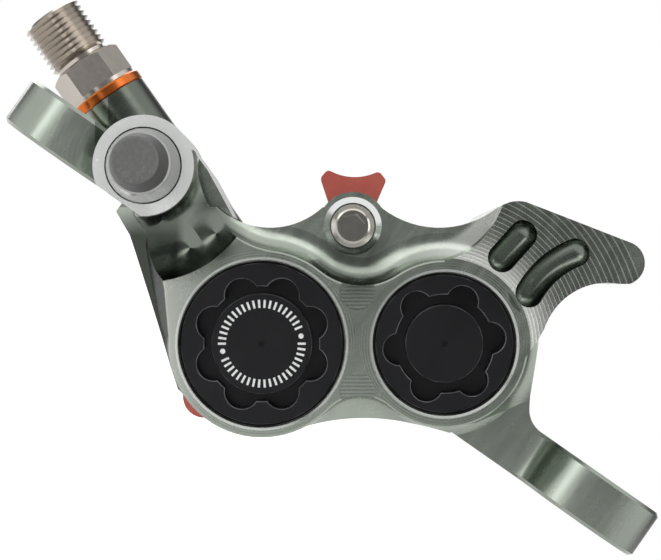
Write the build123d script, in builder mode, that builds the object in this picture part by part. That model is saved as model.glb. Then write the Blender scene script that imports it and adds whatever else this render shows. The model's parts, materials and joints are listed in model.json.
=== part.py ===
"""Four-piston bicycle disc brake caliper for two mounting posts.

Millimetres. +Z points up out of the mounting seats, X runs along the two ears
and +Y runs from the outer face towards the wheel. The origin lies on the seat
plane, midway between the two bolt slots.
"""
from math import cos, radians, sin, sqrt
import os

from build123d import *

os.makedirs("parts", exist_ok=True)

# Mounting ears
bolt_spacing = 74.0
ear_thickness = 6.0
ear_end_radius = 8.0
ear_neck_back = 6.6
ear_neck_length = 17.0
arm_ear_depth = 5.0
ear_root_fillet = 3.0
ear_chamfer = 0.4
slot_width = 6.4
slot_length = 9.6
spot_face_radius = 6.4
post_room = 9.5

# Body, measured from the plane of the rotor
rotor_offset = 12.5
front_reach = 22.5
back_reach = 19.0
step_depth = 4.0
floor_depth = 8.0
bleed_rise = 1.0
overrun = 2.0

# Rotor and its slot
rotor_slot_width = 5.5
rotor_slot_radius = 103.0
rotor_slot_top = 11.0

# Bores, along a line that is tilted from the ears
face_tilt = 34.9
bore_spacing = 20.8
large_bore_place = -6.3
bore_height = -0.4
large_bore_radius = 8.5
small_bore_radius = 7.25
large_boss_radius = 10.65
small_boss_radius = 9.5
back_boss_rise = 2.0
upper_saddle_radius = 7.4
lower_saddle_radius = 5.0
step_fillet = 3.2
floor_fillet = 1.6
outline_round = 1.0
edge_break = 0.2
mouth_chamfer = 0.3
blind_wall = 2.6

# Bore caps
large_cap_radius = 9.45
small_cap_radius = 8.1
cap_flange_thickness = 1.6
cap_skirt_step = 0.5
cap_length = 5.6
cap_recess_depth = 2.4
cap_face_setback = 0.5
cap_clearance = 0.1
cap_skirt_clearance = 0.05
cap_skirt_wall = 2.6
cap_dish_depth = 1.2
cap_chamfer = 0.35
cap_edge_break = 0.12
cap_disc_setback = 0.25
cap_pip_radius = 0.35
cap_pip_depth = 0.3
large_cap_lobes = 8
small_cap_lobes = 6
large_lobe_reach = 7.87
small_lobe_reach = 7.0
large_lobe_radius = 1.95
small_lobe_radius = 1.8
large_recess_radius = 6.55
small_recess_radius = 5.6
large_disc_radius = 5.75
small_disc_radius = 4.45
large_lobe_turn = 22.5
small_lobe_turn = 7.0
cap_ring_place = 3.0
cap_ring_section = 0.44
cap_ring_clearance = 0.03

# Pistons and their rings
piston_room = 1.28
piston_clearance = 0.03
piston_cup_wall = 2.4
piston_cup_share = 0.58
piston_chamfer = 0.4
pressure_seal_place = 9.0
pressure_seal_width = 1.8
pressure_seal_depth = 1.3
dust_seal_place = 7.4
dust_seal_width = 1.0
dust_seal_depth = 0.9
seal_clearance = 0.03

# Pads
pad_pocket_reach = 6.9
pad_gap = 0.3
lining_thickness = 2.0
backing_thickness = 1.8
pad_length = 36.6
pad_bottom = -9.6
pad_top = 8.3
pad_corner_radius = 2.2
pad_side_clearance = 0.4
pad_tab_width = 7.6
pad_tab_fillet = 1.5
pad_hole_clearance = 0.15
lining_inset = 1.3
lining_groove_width = 1.2
lining_groove_depth = 1.3
lining_groove_turn = 20.0
pad_window_top = 9.6
window_left = -9.3
window_right = 18.6
piston_contact = 0.02

# Pad pin and its clip
pin_place = 4.1
pin_height = 13.1
pin_radius = 1.6
pin_thread_radius = 2.0
pin_thread_length = 4.0
pin_thread_clearance = 0.03
pin_head_radius = 2.5
pin_head_length = 3.0
pin_head_chamfer = 0.35
pin_crown_radius = 1.8
pin_socket_flats = 2.6
pin_socket_depth = 1.9
pin_socket_turn = 12.0
pin_collar_radius = 3.35
pin_collar_chamfer = 0.75
pin_collar_depth = 1.0
pin_boss_radius = 3.95
pin_head_setback = 0.4
pin_end_reach = 3.2
pin_groove_place = 1.6
pin_groove_radius = 1.15
clip_wire = 0.9
clip_opening = 60.0
clip_clearance = 0.03

# Pad spring
spring_sheet = 0.3
spring_wing_place = 2.95
spring_wing_length = 14.0
spring_wing_bottom = 9.0
spring_wing_top = 12.6
spring_wing_round = 0.8
spring_eye_radius = 2.6
spring_strap_width = 2.4

# Transport spacer
spacer_thickness = 3.0
spacer_left = -16.6
spacer_bottom = -10.1
spacer_corner = 2.6
spacer_foot_top = -4.9
spacer_leg_left = -8.6
spacer_leg_right = 17.6
spacer_shoulder = 7.5
spacer_slot_width = 3.9
spacer_neck_base = 16.2
spacer_horn_span = 8.2
spacer_horn_round = 0.6
spacer_leg_slope = 2.4
spacer_skirt_width = 9.0
spacer_skirt_slope = 2.0
spacer_leg_bottom = -8.8
spacer_horn_shares = [(-0.33, 0.0), (-0.46, 0.395), (-0.35, 0.525), (0.016, 0.41), (0.42, 0.50),
                      (0.53, 0.36), (0.376, 0.0)]

# Bleed boss, nipple and cap
bleed_place = -27.5
bleed_height = 5.0
bleed_boss_radius = 5.75
bleed_chord_height = 0.15
bleed_bore_radius = 4.4
bleed_seat_depth = 2.0
bleed_thread_radius = 3.0
bleed_thread_length = 8.0
nipple_gap = 0.1
nipple_collar_radius = 4.25
nipple_collar_top_radius = 3.5
nipple_collar_height = 5.4
nipple_collar_edge = 0.35
nipple_neck_radius = 1.1
nipple_hex_flats = 4.4
nipple_hex_height = 1.7
nipple_barb_radius = 1.5
nipple_barb_height = 3.0
nipple_bore_radius = 0.6
nipple_cross_radius = 0.45
nipple_cone_length = 1.6
nipple_stem_clearance = 0.05
dust_cap_skirt_radius = 3.3
dust_cap_top_radius = 2.6
dust_cap_height = 5.6
dust_cap_gap = 0.12
dust_cap_fillet = 0.4
dust_cap_hex_clearance = 0.1

# Hose boss, connector and washer
hose_turn = 20.0
hose_boss_radius = 4.85
hose_place = -37.7
hose_height = 9.1
hose_boss_length = 26.0
hose_bore_radius = 1.4
hose_thread_radius = 2.9
hose_thread_depth = 7.0
washer_radius = 4.95
washer_thickness = 1.3
washer_bore_radius = 3.05
washer_edge = 0.2
washer_room = 0.3
connector_collar_radius = 4.55
connector_collar_length = 0.55
connector_hex_flats = 8.0
connector_hex_length = 4.0
connector_hex_chamfer = 0.55
connector_chamfer_share = 1.6
connector_thread_crest = 3.82
connector_thread_root = 3.3
connector_thread_pitch = 0.72
connector_threads = 9
connector_neck_length = 0.5
connector_stem_length = 6.0
connector_stem_clearance = 0.05
connector_bore_radius = 1.1
connector_cone_radius = 2.3
connector_cone_depth = 1.8

# Core outline, as shares of its length
core_length = 46.4
core_left_top_share = (-0.502, 0.322)
core_left_turn_share = (-0.466, 0.260)
core_left_low_share = (-0.3435, -0.1225)
core_corner_share = (-0.262, -0.197)
core_sag_shares = [(-0.105, -0.236), (0.099, -0.196), (0.328, -0.231)]
core_right_shares = [(0.528, -0.150), (0.556, 0.030)]
core_top_share = 0.329
left_scoop_place = -5.45
left_scoop_height = 21.9
left_scoop_radius = 9.0
right_scoop_place = 14.1
right_scoop_height = 23.7
right_scoop_radius = 10.8

# Ear root, as shares of the core length
root_shares = [(0.220, -0.155), (0.328, -0.2287), (0.612, -0.427), (0.612, -0.269),
               (0.534, -0.2148), (0.541, -0.086), (0.558, 0.022), (0.474, 0.129), (0.216, 0.129)]
root_corner_index = 4
root_corner_fillet = 3.2
floor_cut_shares = [(0.4235, -0.157), (0.5366, -0.0065), (0.62, 0.03), (0.62, -0.34), (0.24, -0.34),
                    (0.24, -0.12)]

# Arm between the large boss and the bleed boss, as shares of the core length
arm_left_shares = [(-0.450, 0.310), (-0.399, 0.244), (-0.375, 0.125), (-0.362, -0.024)]
arm_right_shares = [(-0.272, 0.400), (-0.299, 0.463), (-0.380, 0.520)]
arm_scoop_place = -3.5
arm_scoop_height = 20.2
arm_block_shares = [(-0.522, 0.358), (-0.466, 0.260), (-0.388, 0.172), (-0.211, 0.308), (-0.272, 0.420),
                    (-0.343, 0.517), (-0.474, 0.539)]
scoop_reach = 13.3
scoop_depth = 2.6
flank_shares = [(-0.515, 0.345), (-0.466, 0.260), (-0.3435, -0.1225), (-0.302, -0.125), (-0.302, 0.345)]
flank_low_share = (-0.331, -0.109)
flank_high_share = (-0.3966, 0.2457)
flank_deep_share = (-0.4886, 0.2996)
flank_depth = 0.4

# Tail fin, as shares of the core length
fin_left_shares = [(0.3125, 0.196), (0.4116, 0.252), (0.4504, 0.3276)]
fin_crown_shares = [(0.476, 0.3405), (0.520, 0.3415)]
fin_tip_shares = [(0.786, 0.2405), (0.8185, 0.189), (0.780, 0.138)]
fin_heel_shares = [(0.754, 0.138), (0.620, 0.108), (0.558, 0.026)]
fin_foot_shares = [(0.5366, -0.0065), (0.4235, -0.1573)]
fin_steps = 25
fin_first_step = 9.75
fin_near_pitch = 0.38
fin_far_pitch = 0.78
fin_step_rise = 0.2
fin_back_turn = 38.0
fin_back_place = 25.0
pocket_radius = 1.65
pocket_depth = 5.0
pocket_bottom_share = 0.94
first_pocket_shares = [(0.455, 0.202), (0.5095, 0.261)]
second_pocket_shares = [(0.5216, 0.1157), (0.5754, 0.1776), (0.6444, 0.2172)]

# Web between the bores
web_pocket_radius = 2.05
web_pocket_depth = 0.5
web_pocket_heights = [5.5, -5.7]
web_pocket_shift = 0.5

# Fluid drillings
gallery_radius = 0.9
gallery_reach = 19.4
chamber_inset = 1.0


# Planes and places that follow from the sizes above
front_y = rotor_offset - front_reach
back_y = rotor_offset + back_reach
step_y = front_y + step_depth
floor_y = front_y + floor_depth
bleed_y = front_y - bleed_rise
small_bore_place = large_bore_place + bore_spacing
tilt_cos = cos(radians(face_tilt))
tilt_sin = sin(radians(face_tilt))
cap_inner_y = front_y + cap_face_setback + cap_length
blind_y = back_y - blind_wall
half_slot = rotor_slot_width / 2
lining_face = spacer_thickness / 2 + pad_gap
lining_back = lining_face + lining_thickness
backing_face = lining_back + backing_thickness
pad_left = pin_place - pad_length / 2
pad_right = pin_place + pad_length / 2
pocket_left = pad_left - pad_side_clearance
pocket_right = pad_right + pad_side_clearance
pin_seat_y = step_y - pin_collar_depth + pin_head_setback + pin_head_length
bleed_seat_y = bleed_y + bleed_seat_depth


def face(y):
    """Plane parallel to the outer face at depth y, x along the bore line."""
    return Plane(origin=(0, y, 0), x_dir=(tilt_cos, 0, tilt_sin), z_dir=(0, -1, 0))


def spot(across, up, y):
    """Point of the tilted face frame in the caliper's own frame."""
    return Vector(across * tilt_cos - up * tilt_sin, y, across * tilt_sin + up * tilt_cos)


def core(share):
    """Point of an outline that is given as a share of the core length."""
    return (share[0] * core_length, share[1] * core_length)


def bar(start, end, radius, mode):
    """Round bar or drilling between two points."""
    run = end - start
    with Locations(Plane(origin=start, z_dir=run)):
        Cylinder(radius, run.length, align=(Align.CENTER, Align.CENTER, Align.MIN), mode=mode)


def half_section(origin, along, radial, points):
    """Half section of a turned piece, its points given as (distance along the axis, radius)."""
    with BuildSketch(Plane(origin=origin, x_dir=along, z_dir=along.cross(radial))) as section:
        with BuildLine():
            Polyline(*points, close=True)
        make_face()
    return section.sketch


def finish(piece, name):
    """Name a finished piece and write its file."""
    piece.label = name
    export_step(piece, f"parts/{name}.step")


def tangent_centre(radius, side):
    """Centre of a round that touches both bosses, above or below the bore line."""
    from_large = large_boss_radius + radius
    from_small = small_boss_radius + radius
    along = (bore_spacing**2 + from_large**2 - from_small**2) / (2 * bore_spacing)
    rise = sqrt(from_large**2 - along**2)
    return (large_bore_place + along, bore_height + side * rise)


large_centre = (large_bore_place, bore_height)
arm_scoop_centre = (arm_scoop_place, arm_scoop_height)
arm_scoop_radius = sqrt((arm_scoop_place - large_bore_place)**2
                        + (arm_scoop_height - bore_height)**2) - large_boss_radius
small_centre = (small_bore_place, bore_height)
upper_saddle = tangent_centre(upper_saddle_radius, 1)
lower_saddle = tangent_centre(lower_saddle_radius, -1)
rotor_centre = (pin_place, rotor_slot_top - rotor_slot_radius)
bleed_across = bleed_place * tilt_cos + bleed_height * tilt_sin
bleed_up = bleed_height * tilt_cos - bleed_place * tilt_sin
hose_axis = Vector(cos(radians(hose_turn)), 0, -sin(radians(hose_turn)))
hose_start = Vector(hose_place, rotor_offset, hose_height)
hose_end = hose_start + hose_axis * hose_boss_length
across = Vector(tilt_cos, 0, tilt_sin)
inward = Vector(0, 1, 0)
bleed_spot = spot(bleed_across, bleed_up, front_y)
bleed_seat = spot(bleed_across, bleed_up, bleed_seat_y)


# Tail fin with its terraced face
with BuildPart() as fin_blank:
    with BuildSketch(face(front_y)):
        with BuildLine():
            ThreePointArc(*[core(share) for share in fin_left_shares])
            ThreePointArc(core(fin_left_shares[2]), core(fin_crown_shares[0]), core(fin_crown_shares[1]))
            Line(core(fin_crown_shares[1]), core(fin_tip_shares[0]))
            ThreePointArc(*[core(share) for share in fin_tip_shares])
            Line(core(fin_tip_shares[2]), core(fin_heel_shares[0]))
            ThreePointArc(*[core(share) for share in fin_heel_shares])
            Polyline(core(fin_heel_shares[2]), core(fin_foot_shares[0]), core(fin_foot_shares[1]),
                     small_centre, core(fin_left_shares[0]))
        make_face()
    extrude(amount=-(front_reach + back_reach))
    radial_plane = Plane(origin=spot(*small_centre, front_y), x_dir=(tilt_cos, 0, tilt_sin),
                         z_dir=(-tilt_sin, 0, tilt_cos))
    with BuildSketch(radial_plane):
        with BuildLine():
            reach = fin_first_step
            fall = 0
            points = [(reach, -overrun)]
            for step in range(fin_steps):
                points.append((reach, fall))
                fall = fall + fin_step_rise
                points.append((reach, fall))
                reach = reach + fin_near_pitch + (fin_far_pitch - fin_near_pitch) * step / fin_steps
            points.append((reach + ear_end_radius, fall))
            points.append((reach + ear_end_radius, -overrun))
            Polyline(*points, close=True)
        make_face()
    revolve(axis=Axis(spot(*small_centre, front_y), (0, 1, 0)), mode=Mode.SUBTRACT)
    back_cut = Plane(origin=spot(fin_back_place, 0, back_y), x_dir=(-tilt_sin, 0, tilt_cos),
                     z_dir=Vector(tilt_cos * sin(radians(fin_back_turn)), cos(radians(fin_back_turn)),
                                  tilt_sin * sin(radians(fin_back_turn))))
    split(bisect_by=back_cut, keep=Keep.BOTTOM)

# Ball-milled pockets of the fin
with BuildPart() as fin_pockets:
    with BuildSketch(face(front_y - overrun)):
        with BuildLine():
            Line(core(first_pocket_shares[0]), core(first_pocket_shares[1]))
            offset(amount=pocket_radius)
        make_face()
        with BuildLine():
            ThreePointArc(*[core(share) for share in second_pocket_shares])
            offset(amount=pocket_radius)
        make_face()
    extrude(amount=-(pocket_depth + overrun))
    fillet(fin_pockets.faces().sort_by(Axis.Y)[-2:].edges(), pocket_radius * pocket_bottom_share)

# Sloping flank beside the large bore
flank_low = spot(*core(flank_low_share), front_y + flank_depth)
flank_high = spot(*core(flank_high_share), front_y + flank_depth)
flank_deep = spot(*core(flank_deep_share), floor_y)
with BuildPart() as flank_blank:
    with BuildSketch(face(front_y)):
        Polygon(*[core(share) for share in flank_shares], align=None)
    extrude(amount=-floor_depth)
    flank_plane = Plane(origin=flank_low, x_dir=flank_high - flank_low,
                        z_dir=(flank_deep - flank_low).cross(flank_high - flank_low))
    split(bisect_by=flank_plane, keep=Keep.TOP)

# Mounting ears with chamfered edges
with BuildPart() as ears:
    with BuildSketch(Plane.XY) as ear_plan:
        for side, near_y in ((1, floor_y), (-1, front_y + arm_ear_depth)):
            bolt_x = side * bolt_spacing / 2
            with Locations((bolt_x, 0)):
                Circle(ear_end_radius)
            with Locations((bolt_x - side * ear_neck_length / 2, near_y)):
                Rectangle(ear_neck_length, ear_neck_back - near_y, align=(Align.CENTER, Align.MIN))
        neck_meets_end = bolt_spacing / 2 - sqrt(ear_end_radius**2 - floor_y**2)
        fillet(ear_plan.vertices().sort_by_distance((neck_meets_end, floor_y))[0], ear_root_fillet)
    extrude(amount=ear_thickness)
    flat_edges = ears.edges().filter_by(Axis.Z, reverse=True)
    neck_end = bolt_spacing / 2 - ear_neck_length
    chamfer([edge for edge in flat_edges if abs(edge.center().X) > neck_end + ear_chamfer], ear_chamfer)

# Outline of the core, and of the plateau that stands on it with a cove at its foot
with BuildSketch(face(step_y)) as core_outline:
    with BuildLine():
        core_right = core_right_shares[1][0] * core_length
        core_top = core_top_share * core_length
        Polyline(core(core_left_top_share), core(core_left_turn_share), core(core_left_low_share),
                 core(core_corner_share), core(core_sag_shares[0]))
        ThreePointArc(*[core(share) for share in core_sag_shares])
        Polyline(core(core_sag_shares[2]), core(core_right_shares[0]), core(core_right_shares[1]),
                 (core_right, core_top), (core_left_top_share[0] * core_length, core_top),
                 core(core_left_top_share))
    make_face()
    with Locations(large_centre):
        Circle(large_boss_radius)
    with Locations((left_scoop_place, left_scoop_height)):
        Circle(left_scoop_radius, mode=Mode.SUBTRACT)
    with Locations((right_scoop_place, right_scoop_height)):
        Circle(right_scoop_radius, mode=Mode.SUBTRACT)
    with Locations((pin_place, pin_height)):
        Circle(pin_boss_radius)
arm_left = [core(share) for share in arm_left_shares]
arm_right = [core(share) for share in arm_right_shares]
with BuildSketch(face(front_y)) as plateau_outline:
    Polygon(large_centre, upper_saddle, small_centre, lower_saddle, align=None)
    with Locations(upper_saddle):
        Circle(upper_saddle_radius, mode=Mode.SUBTRACT)
    with Locations(lower_saddle):
        Circle(lower_saddle_radius, mode=Mode.SUBTRACT)
    Polygon(*arm_left, large_centre, arm_scoop_centre, *arm_right, align=None)
    with Locations(arm_scoop_centre):
        Circle(arm_scoop_radius, mode=Mode.SUBTRACT)
    with Locations(large_centre):
        Circle(large_boss_radius)
    with Locations(small_centre):
        Circle(small_boss_radius)
    fillet([plateau_outline.vertices().sort_by_distance(corner)[0] for corner in arm_left], outline_round)
with BuildPart() as front_room:
    extrude(core_outline.sketch, amount=step_depth)
    extrude(plateau_outline.sketch, amount=-step_depth)
with BuildPart() as plateau:
    with BuildSketch(face(step_y)):
        Rectangle(core_length * 2, core_length * 2)
    extrude(amount=-step_fillet)
    extrude(plateau_outline.sketch, amount=-step_depth)
    foot = plateau.edges().filter_by_position(Axis.Y, step_y - edge_break, step_y + edge_break)
    fillet(foot.filter_by(lambda edge: edge.length < core_length), step_fillet)
    chamfer(plateau.faces().sort_by(Axis.Y)[0].edges(), edge_break)
    add(front_room.part, mode=Mode.INTERSECT)

# Root of the right ear, and the cove round the small boss on its floor
with BuildSketch(face(floor_y)) as root_outline:
    Polygon(*[core(share) for share in root_shares], align=None)
    root_corner = core(root_shares[root_corner_index])
    fillet(root_outline.vertices().sort_by_distance(root_corner)[0], root_corner_fillet)
with BuildPart() as floor_room:
    extrude(core_outline.sketch, amount=-(floor_depth - step_depth))
    extrude(root_outline.sketch, amount=floor_depth - step_depth)
with BuildPart() as floor_cove:
    cove_plane = Plane(origin=spot(*small_centre, floor_y), x_dir=inward, z_dir=inward.cross(across))
    with BuildSketch(cove_plane) as cove:
        with Locations((0, small_boss_radius)):
            Rectangle(floor_fillet, floor_fillet * 2, align=(Align.MAX, Align.CENTER))
        with Locations((-floor_fillet, small_boss_radius + floor_fillet)):
            Circle(floor_fillet, mode=Mode.SUBTRACT)
    revolve(cove.sketch, axis=Axis(spot(*small_centre, floor_y), inward))
    add(floor_room.part, mode=Mode.INTERSECT)

# Caliper body
with BuildPart() as caliper_body:
    # Core of both halves, from the upper step back to the wheel side
    extrude(core_outline.sketch, amount=-(front_reach - step_depth + back_reach))

    # The floor beside the small bore lies deeper, down to the root of the ear
    with BuildSketch(face(step_y)):
        Polygon(*[core(share) for share in floor_cut_shares], align=None)
        with Locations(small_centre):
            Circle(small_boss_radius, mode=Mode.SUBTRACT)
    extrude(amount=-(floor_depth - step_depth), mode=Mode.SUBTRACT)
    extrude(root_outline.sketch, amount=-(rotor_offset - half_slot - floor_y))

    # Coves, then the plateau: the bosses of both bores, the web between them and the arm
    add(floor_cove.part)
    add(plateau.part)

    # Arm towards the bleed boss, and the scooped ring round that boss
    with BuildSketch(face(step_y)):
        Polygon(*[core(share) for share in arm_block_shares], align=None)
    extrude(amount=-(rotor_offset + hose_boss_radius - step_y))
    add(flank_blank.part)
    scoop_half = (scoop_reach - bleed_boss_radius) / 2
    scoop_radius = (scoop_half**2 + scoop_depth**2) / (2 * scoop_depth)
    with BuildSketch(Plane(origin=bleed_spot, x_dir=(1, 0, 0), z_dir=(0, 0, 1))):
        with Locations((bleed_boss_radius + scoop_half, scoop_depth - scoop_radius)):
            Circle(scoop_radius)
    revolve(axis=Axis(bleed_spot, (0, 1, 0)), mode=Mode.SUBTRACT)

    # Tail fin
    add(fin_blank.part)
    add(fin_pockets.part, mode=Mode.SUBTRACT)

    # Room for the mounting posts below the seats
    with BuildSketch(Plane.XY):
        for side in (-1, 1):
            with Locations((side * bolt_spacing / 2, rotor_offset)):
                Rectangle(post_room * 2, (front_reach + back_reach) * 2)
    extrude(amount=-core_length, mode=Mode.SUBTRACT)

    # Ears, bleed boss, hose boss and pin boss
    add(ears.part)
    with BuildSketch(face(bleed_y)):
        with Locations((bleed_across, bleed_up)):
            Circle(bleed_boss_radius)
        with Locations((bleed_chord_height * tilt_sin, bleed_chord_height * tilt_cos)):
            Rectangle(core_length * 2, core_length, rotation=-face_tilt, align=(Align.CENTER, Align.MAX),
                      mode=Mode.SUBTRACT)
    extrude(amount=-(rotor_offset - bleed_y))
    bar(hose_start, hose_end, hose_boss_radius, Mode.ADD)
    pin_collar = spot(pin_place, pin_height, step_y - pin_collar_depth)
    bevelled_collar = half_section(pin_collar, inward, across, [
        (0, 0), (0, pin_collar_radius - pin_collar_chamfer), (pin_collar_chamfer, pin_collar_radius),
        (pin_collar_depth + edge_break, pin_collar_radius), (pin_collar_depth + edge_break, 0)])
    revolve(bevelled_collar, axis=Axis(pin_collar, inward))

    # Blind bosses on the wheel side
    with BuildSketch(face(back_y + back_boss_rise)):
        with Locations(large_centre):
            Circle(large_boss_radius - back_boss_rise)
        with Locations(small_centre):
            Circle(small_boss_radius - back_boss_rise)
    extrude(amount=back_boss_rise)

    # Bolt slots and their spot faces
    with BuildSketch(Plane.XY):
        with Locations((-bolt_spacing / 2, 0), (bolt_spacing / 2, 0)):
            SlotOverall(slot_length, slot_width, rotation=90)
    extrude(amount=ear_thickness, mode=Mode.SUBTRACT)
    with BuildSketch(Plane.XY.offset(ear_thickness)):
        with Locations((-bolt_spacing / 2, 0), (bolt_spacing / 2, 0)):
            Circle(spot_face_radius)
    extrude(amount=core_length / 2, mode=Mode.SUBTRACT)

    # Window for the pads, open above and below, and the slot for the rotor
    with BuildSketch(face(rotor_offset - pad_pocket_reach)):
        Polygon((pocket_left, -core_length), (pocket_left, pad_window_top), (window_left, pad_window_top),
                (window_left, core_length), (window_right, core_length), (window_right, pad_window_top),
                (pocket_right, pad_window_top), (pocket_right, -core_length), align=None)
    extrude(amount=-pad_pocket_reach * 2, mode=Mode.SUBTRACT)
    with BuildSketch(face(rotor_offset - half_slot)):
        with Locations(rotor_centre):
            Circle(rotor_slot_radius)
    extrude(amount=-rotor_slot_width, mode=Mode.SUBTRACT)

    # Bores, cap seats and ring grooves
    for centre, bore, cap in ((large_centre, large_bore_radius, large_cap_radius),
                              (small_centre, small_bore_radius, small_cap_radius)):
        mouth = spot(*centre, front_y - overrun)
        bar(mouth, spot(*centre, blind_y), bore, Mode.SUBTRACT)
        bar(mouth, spot(*centre, cap_inner_y), cap - cap_skirt_step, Mode.SUBTRACT)
        bar(mouth, spot(*centre, front_y + cap_face_setback + cap_flange_thickness),
            cap + cap_clearance, Mode.SUBTRACT)
        rim = half_section(spot(*centre, front_y), inward, across, [
            (0, 0), (0, cap + cap_clearance + mouth_chamfer), (mouth_chamfer, cap + cap_clearance),
            (mouth_chamfer, 0)])
        revolve(rim, axis=Axis(spot(*centre, front_y), inward), mode=Mode.SUBTRACT)
        for side in (-1, 1):
            for place, width, depth in ((pressure_seal_place, pressure_seal_width, pressure_seal_depth),
                                        (dust_seal_place, dust_seal_width, dust_seal_depth)):
                bar(spot(*centre, rotor_offset + side * place),
                    spot(*centre, rotor_offset + side * (place + width)), bore + depth, Mode.SUBTRACT)

    # Pin hole, bleed seat and hose thread
    bar(spot(pin_place, pin_height, front_y), spot(pin_place, pin_height, back_y + overrun),
        pin_radius + pad_hole_clearance, Mode.SUBTRACT)
    bar(spot(pin_place, pin_height, pin_seat_y), spot(pin_place, pin_height, pin_seat_y + pin_thread_length),
        pin_thread_radius + pin_thread_clearance, Mode.SUBTRACT)
    bar(spot(pin_place, pin_height, front_y), spot(pin_place, pin_height, pin_seat_y),
        pin_head_radius + pad_hole_clearance, Mode.SUBTRACT)
    bar(bleed_spot - inward * overrun, bleed_seat, bleed_bore_radius, Mode.SUBTRACT)
    bar(bleed_seat, bleed_seat + inward * bleed_thread_length, bleed_thread_radius, Mode.SUBTRACT)
    bar(hose_start, hose_start + hose_axis * hose_thread_depth, hose_thread_radius, Mode.SUBTRACT)
    bar(hose_start, hose_start - hose_axis * hose_thread_depth, washer_radius + washer_room, Mode.SUBTRACT)

    # Fluid drillings: hose bore, bleed drilling, gallery and the ways into the four chambers
    gallery = hose_start + hose_axis * gallery_reach
    bar(hose_start, gallery, hose_bore_radius, Mode.SUBTRACT)
    bar(bleed_spot, spot(bleed_across, bleed_up, rotor_offset), gallery_radius, Mode.SUBTRACT)
    chamber_depths = [cap_inner_y + chamber_inset, blind_y - chamber_inset]
    bar(Vector(gallery.X, chamber_depths[0], gallery.Z), Vector(gallery.X, chamber_depths[1], gallery.Z),
        gallery_radius, Mode.SUBTRACT)
    for chamber_y in chamber_depths:
        large_chamber = spot(*large_centre, chamber_y)
        bar(Vector(gallery.X, chamber_y, gallery.Z), large_chamber, gallery_radius, Mode.SUBTRACT)
        bar(large_chamber, spot(*small_centre, chamber_y), gallery_radius, Mode.SUBTRACT)

    # Web pockets between the bores
    with BuildSketch(face(front_y)):
        for height in web_pocket_heights:
            with Locations(((large_bore_place + small_bore_place) / 2 + web_pocket_shift, height)):
                Circle(web_pocket_radius)
    extrude(amount=-web_pocket_depth, mode=Mode.SUBTRACT)
finish(caliper_body.part, "caliper_body")

# Bore caps: a flanged plug with a lobed tool recess round a raised disc
cap_y = front_y + cap_face_setback
for name, centre, radius, lobes, turn, reach, lobe_radius, recess_radius, disc_radius in (
        ("large_bore_cap", large_centre, large_cap_radius, large_cap_lobes, large_lobe_turn,
         large_lobe_reach, large_lobe_radius, large_recess_radius, large_disc_radius),
        ("small_bore_cap", small_centre, small_cap_radius, small_cap_lobes, small_lobe_turn,
         small_lobe_reach, small_lobe_radius, small_recess_radius, small_disc_radius)):
    skirt_radius = radius - cap_skirt_step - cap_skirt_clearance
    ring_outer = radius - cap_skirt_step - cap_ring_clearance
    ring_inner = ring_outer - cap_ring_section * 2
    dish_radius = radius - cap_skirt_wall
    origin = spot(*centre, cap_y)
    with BuildPart() as bore_cap:
        plug = half_section(origin, inward, across, [
            (0, 0), (0, radius - cap_chamfer), (cap_chamfer, radius), (cap_flange_thickness, radius),
            (cap_flange_thickness, skirt_radius), (cap_ring_place, skirt_radius),
            (cap_ring_place, ring_inner - cap_ring_clearance),
            (cap_ring_place + (cap_ring_section + cap_ring_clearance) * 2, ring_inner - cap_ring_clearance),
            (cap_ring_place + (cap_ring_section + cap_ring_clearance) * 2, skirt_radius),
            (cap_length - cap_chamfer, skirt_radius), (cap_length, skirt_radius - cap_chamfer),
            (cap_length, dish_radius), (cap_length - cap_dish_depth, dish_radius - cap_dish_depth),
            (cap_length - cap_dish_depth, 0)])
        revolve(plug, axis=Axis(origin, inward))
        with BuildSketch(face(cap_y)):
            with Locations(centre):
                Circle(recess_radius)
                with PolarLocations(reach - lobe_radius, lobes, start_angle=turn):
                    Circle(lobe_radius)
                Circle(disc_radius, mode=Mode.SUBTRACT)
        extrude(amount=-cap_recess_depth, mode=Mode.SUBTRACT)
        bar(origin, origin + inward * cap_disc_setback, disc_radius, Mode.SUBTRACT)
        rim_face, disc_face = bore_cap.faces().filter_by(Axis.Y).sort_by(Axis.Y)[:2]
        chamfer([*rim_face.inner_wires()[0].edges(), *disc_face.edges()], cap_edge_break)
        bar(origin, origin + inward * (cap_disc_setback + cap_pip_depth), cap_pip_radius, Mode.SUBTRACT)
    finish(bore_cap.part, name)
    with BuildPart() as cap_seal:
        with BuildSketch(Plane(origin=origin, x_dir=inward, z_dir=inward.cross(across))) as cord:
            ring_place = cap_ring_place + cap_ring_section + cap_ring_clearance
            with Locations((ring_place, ring_outer - cap_ring_section)):
                Circle(cap_ring_section)
        revolve(cord.sketch, axis=Axis(origin, inward))
    finish(cap_seal.part, name.replace("bore_cap", "cap_seal"))

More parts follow.
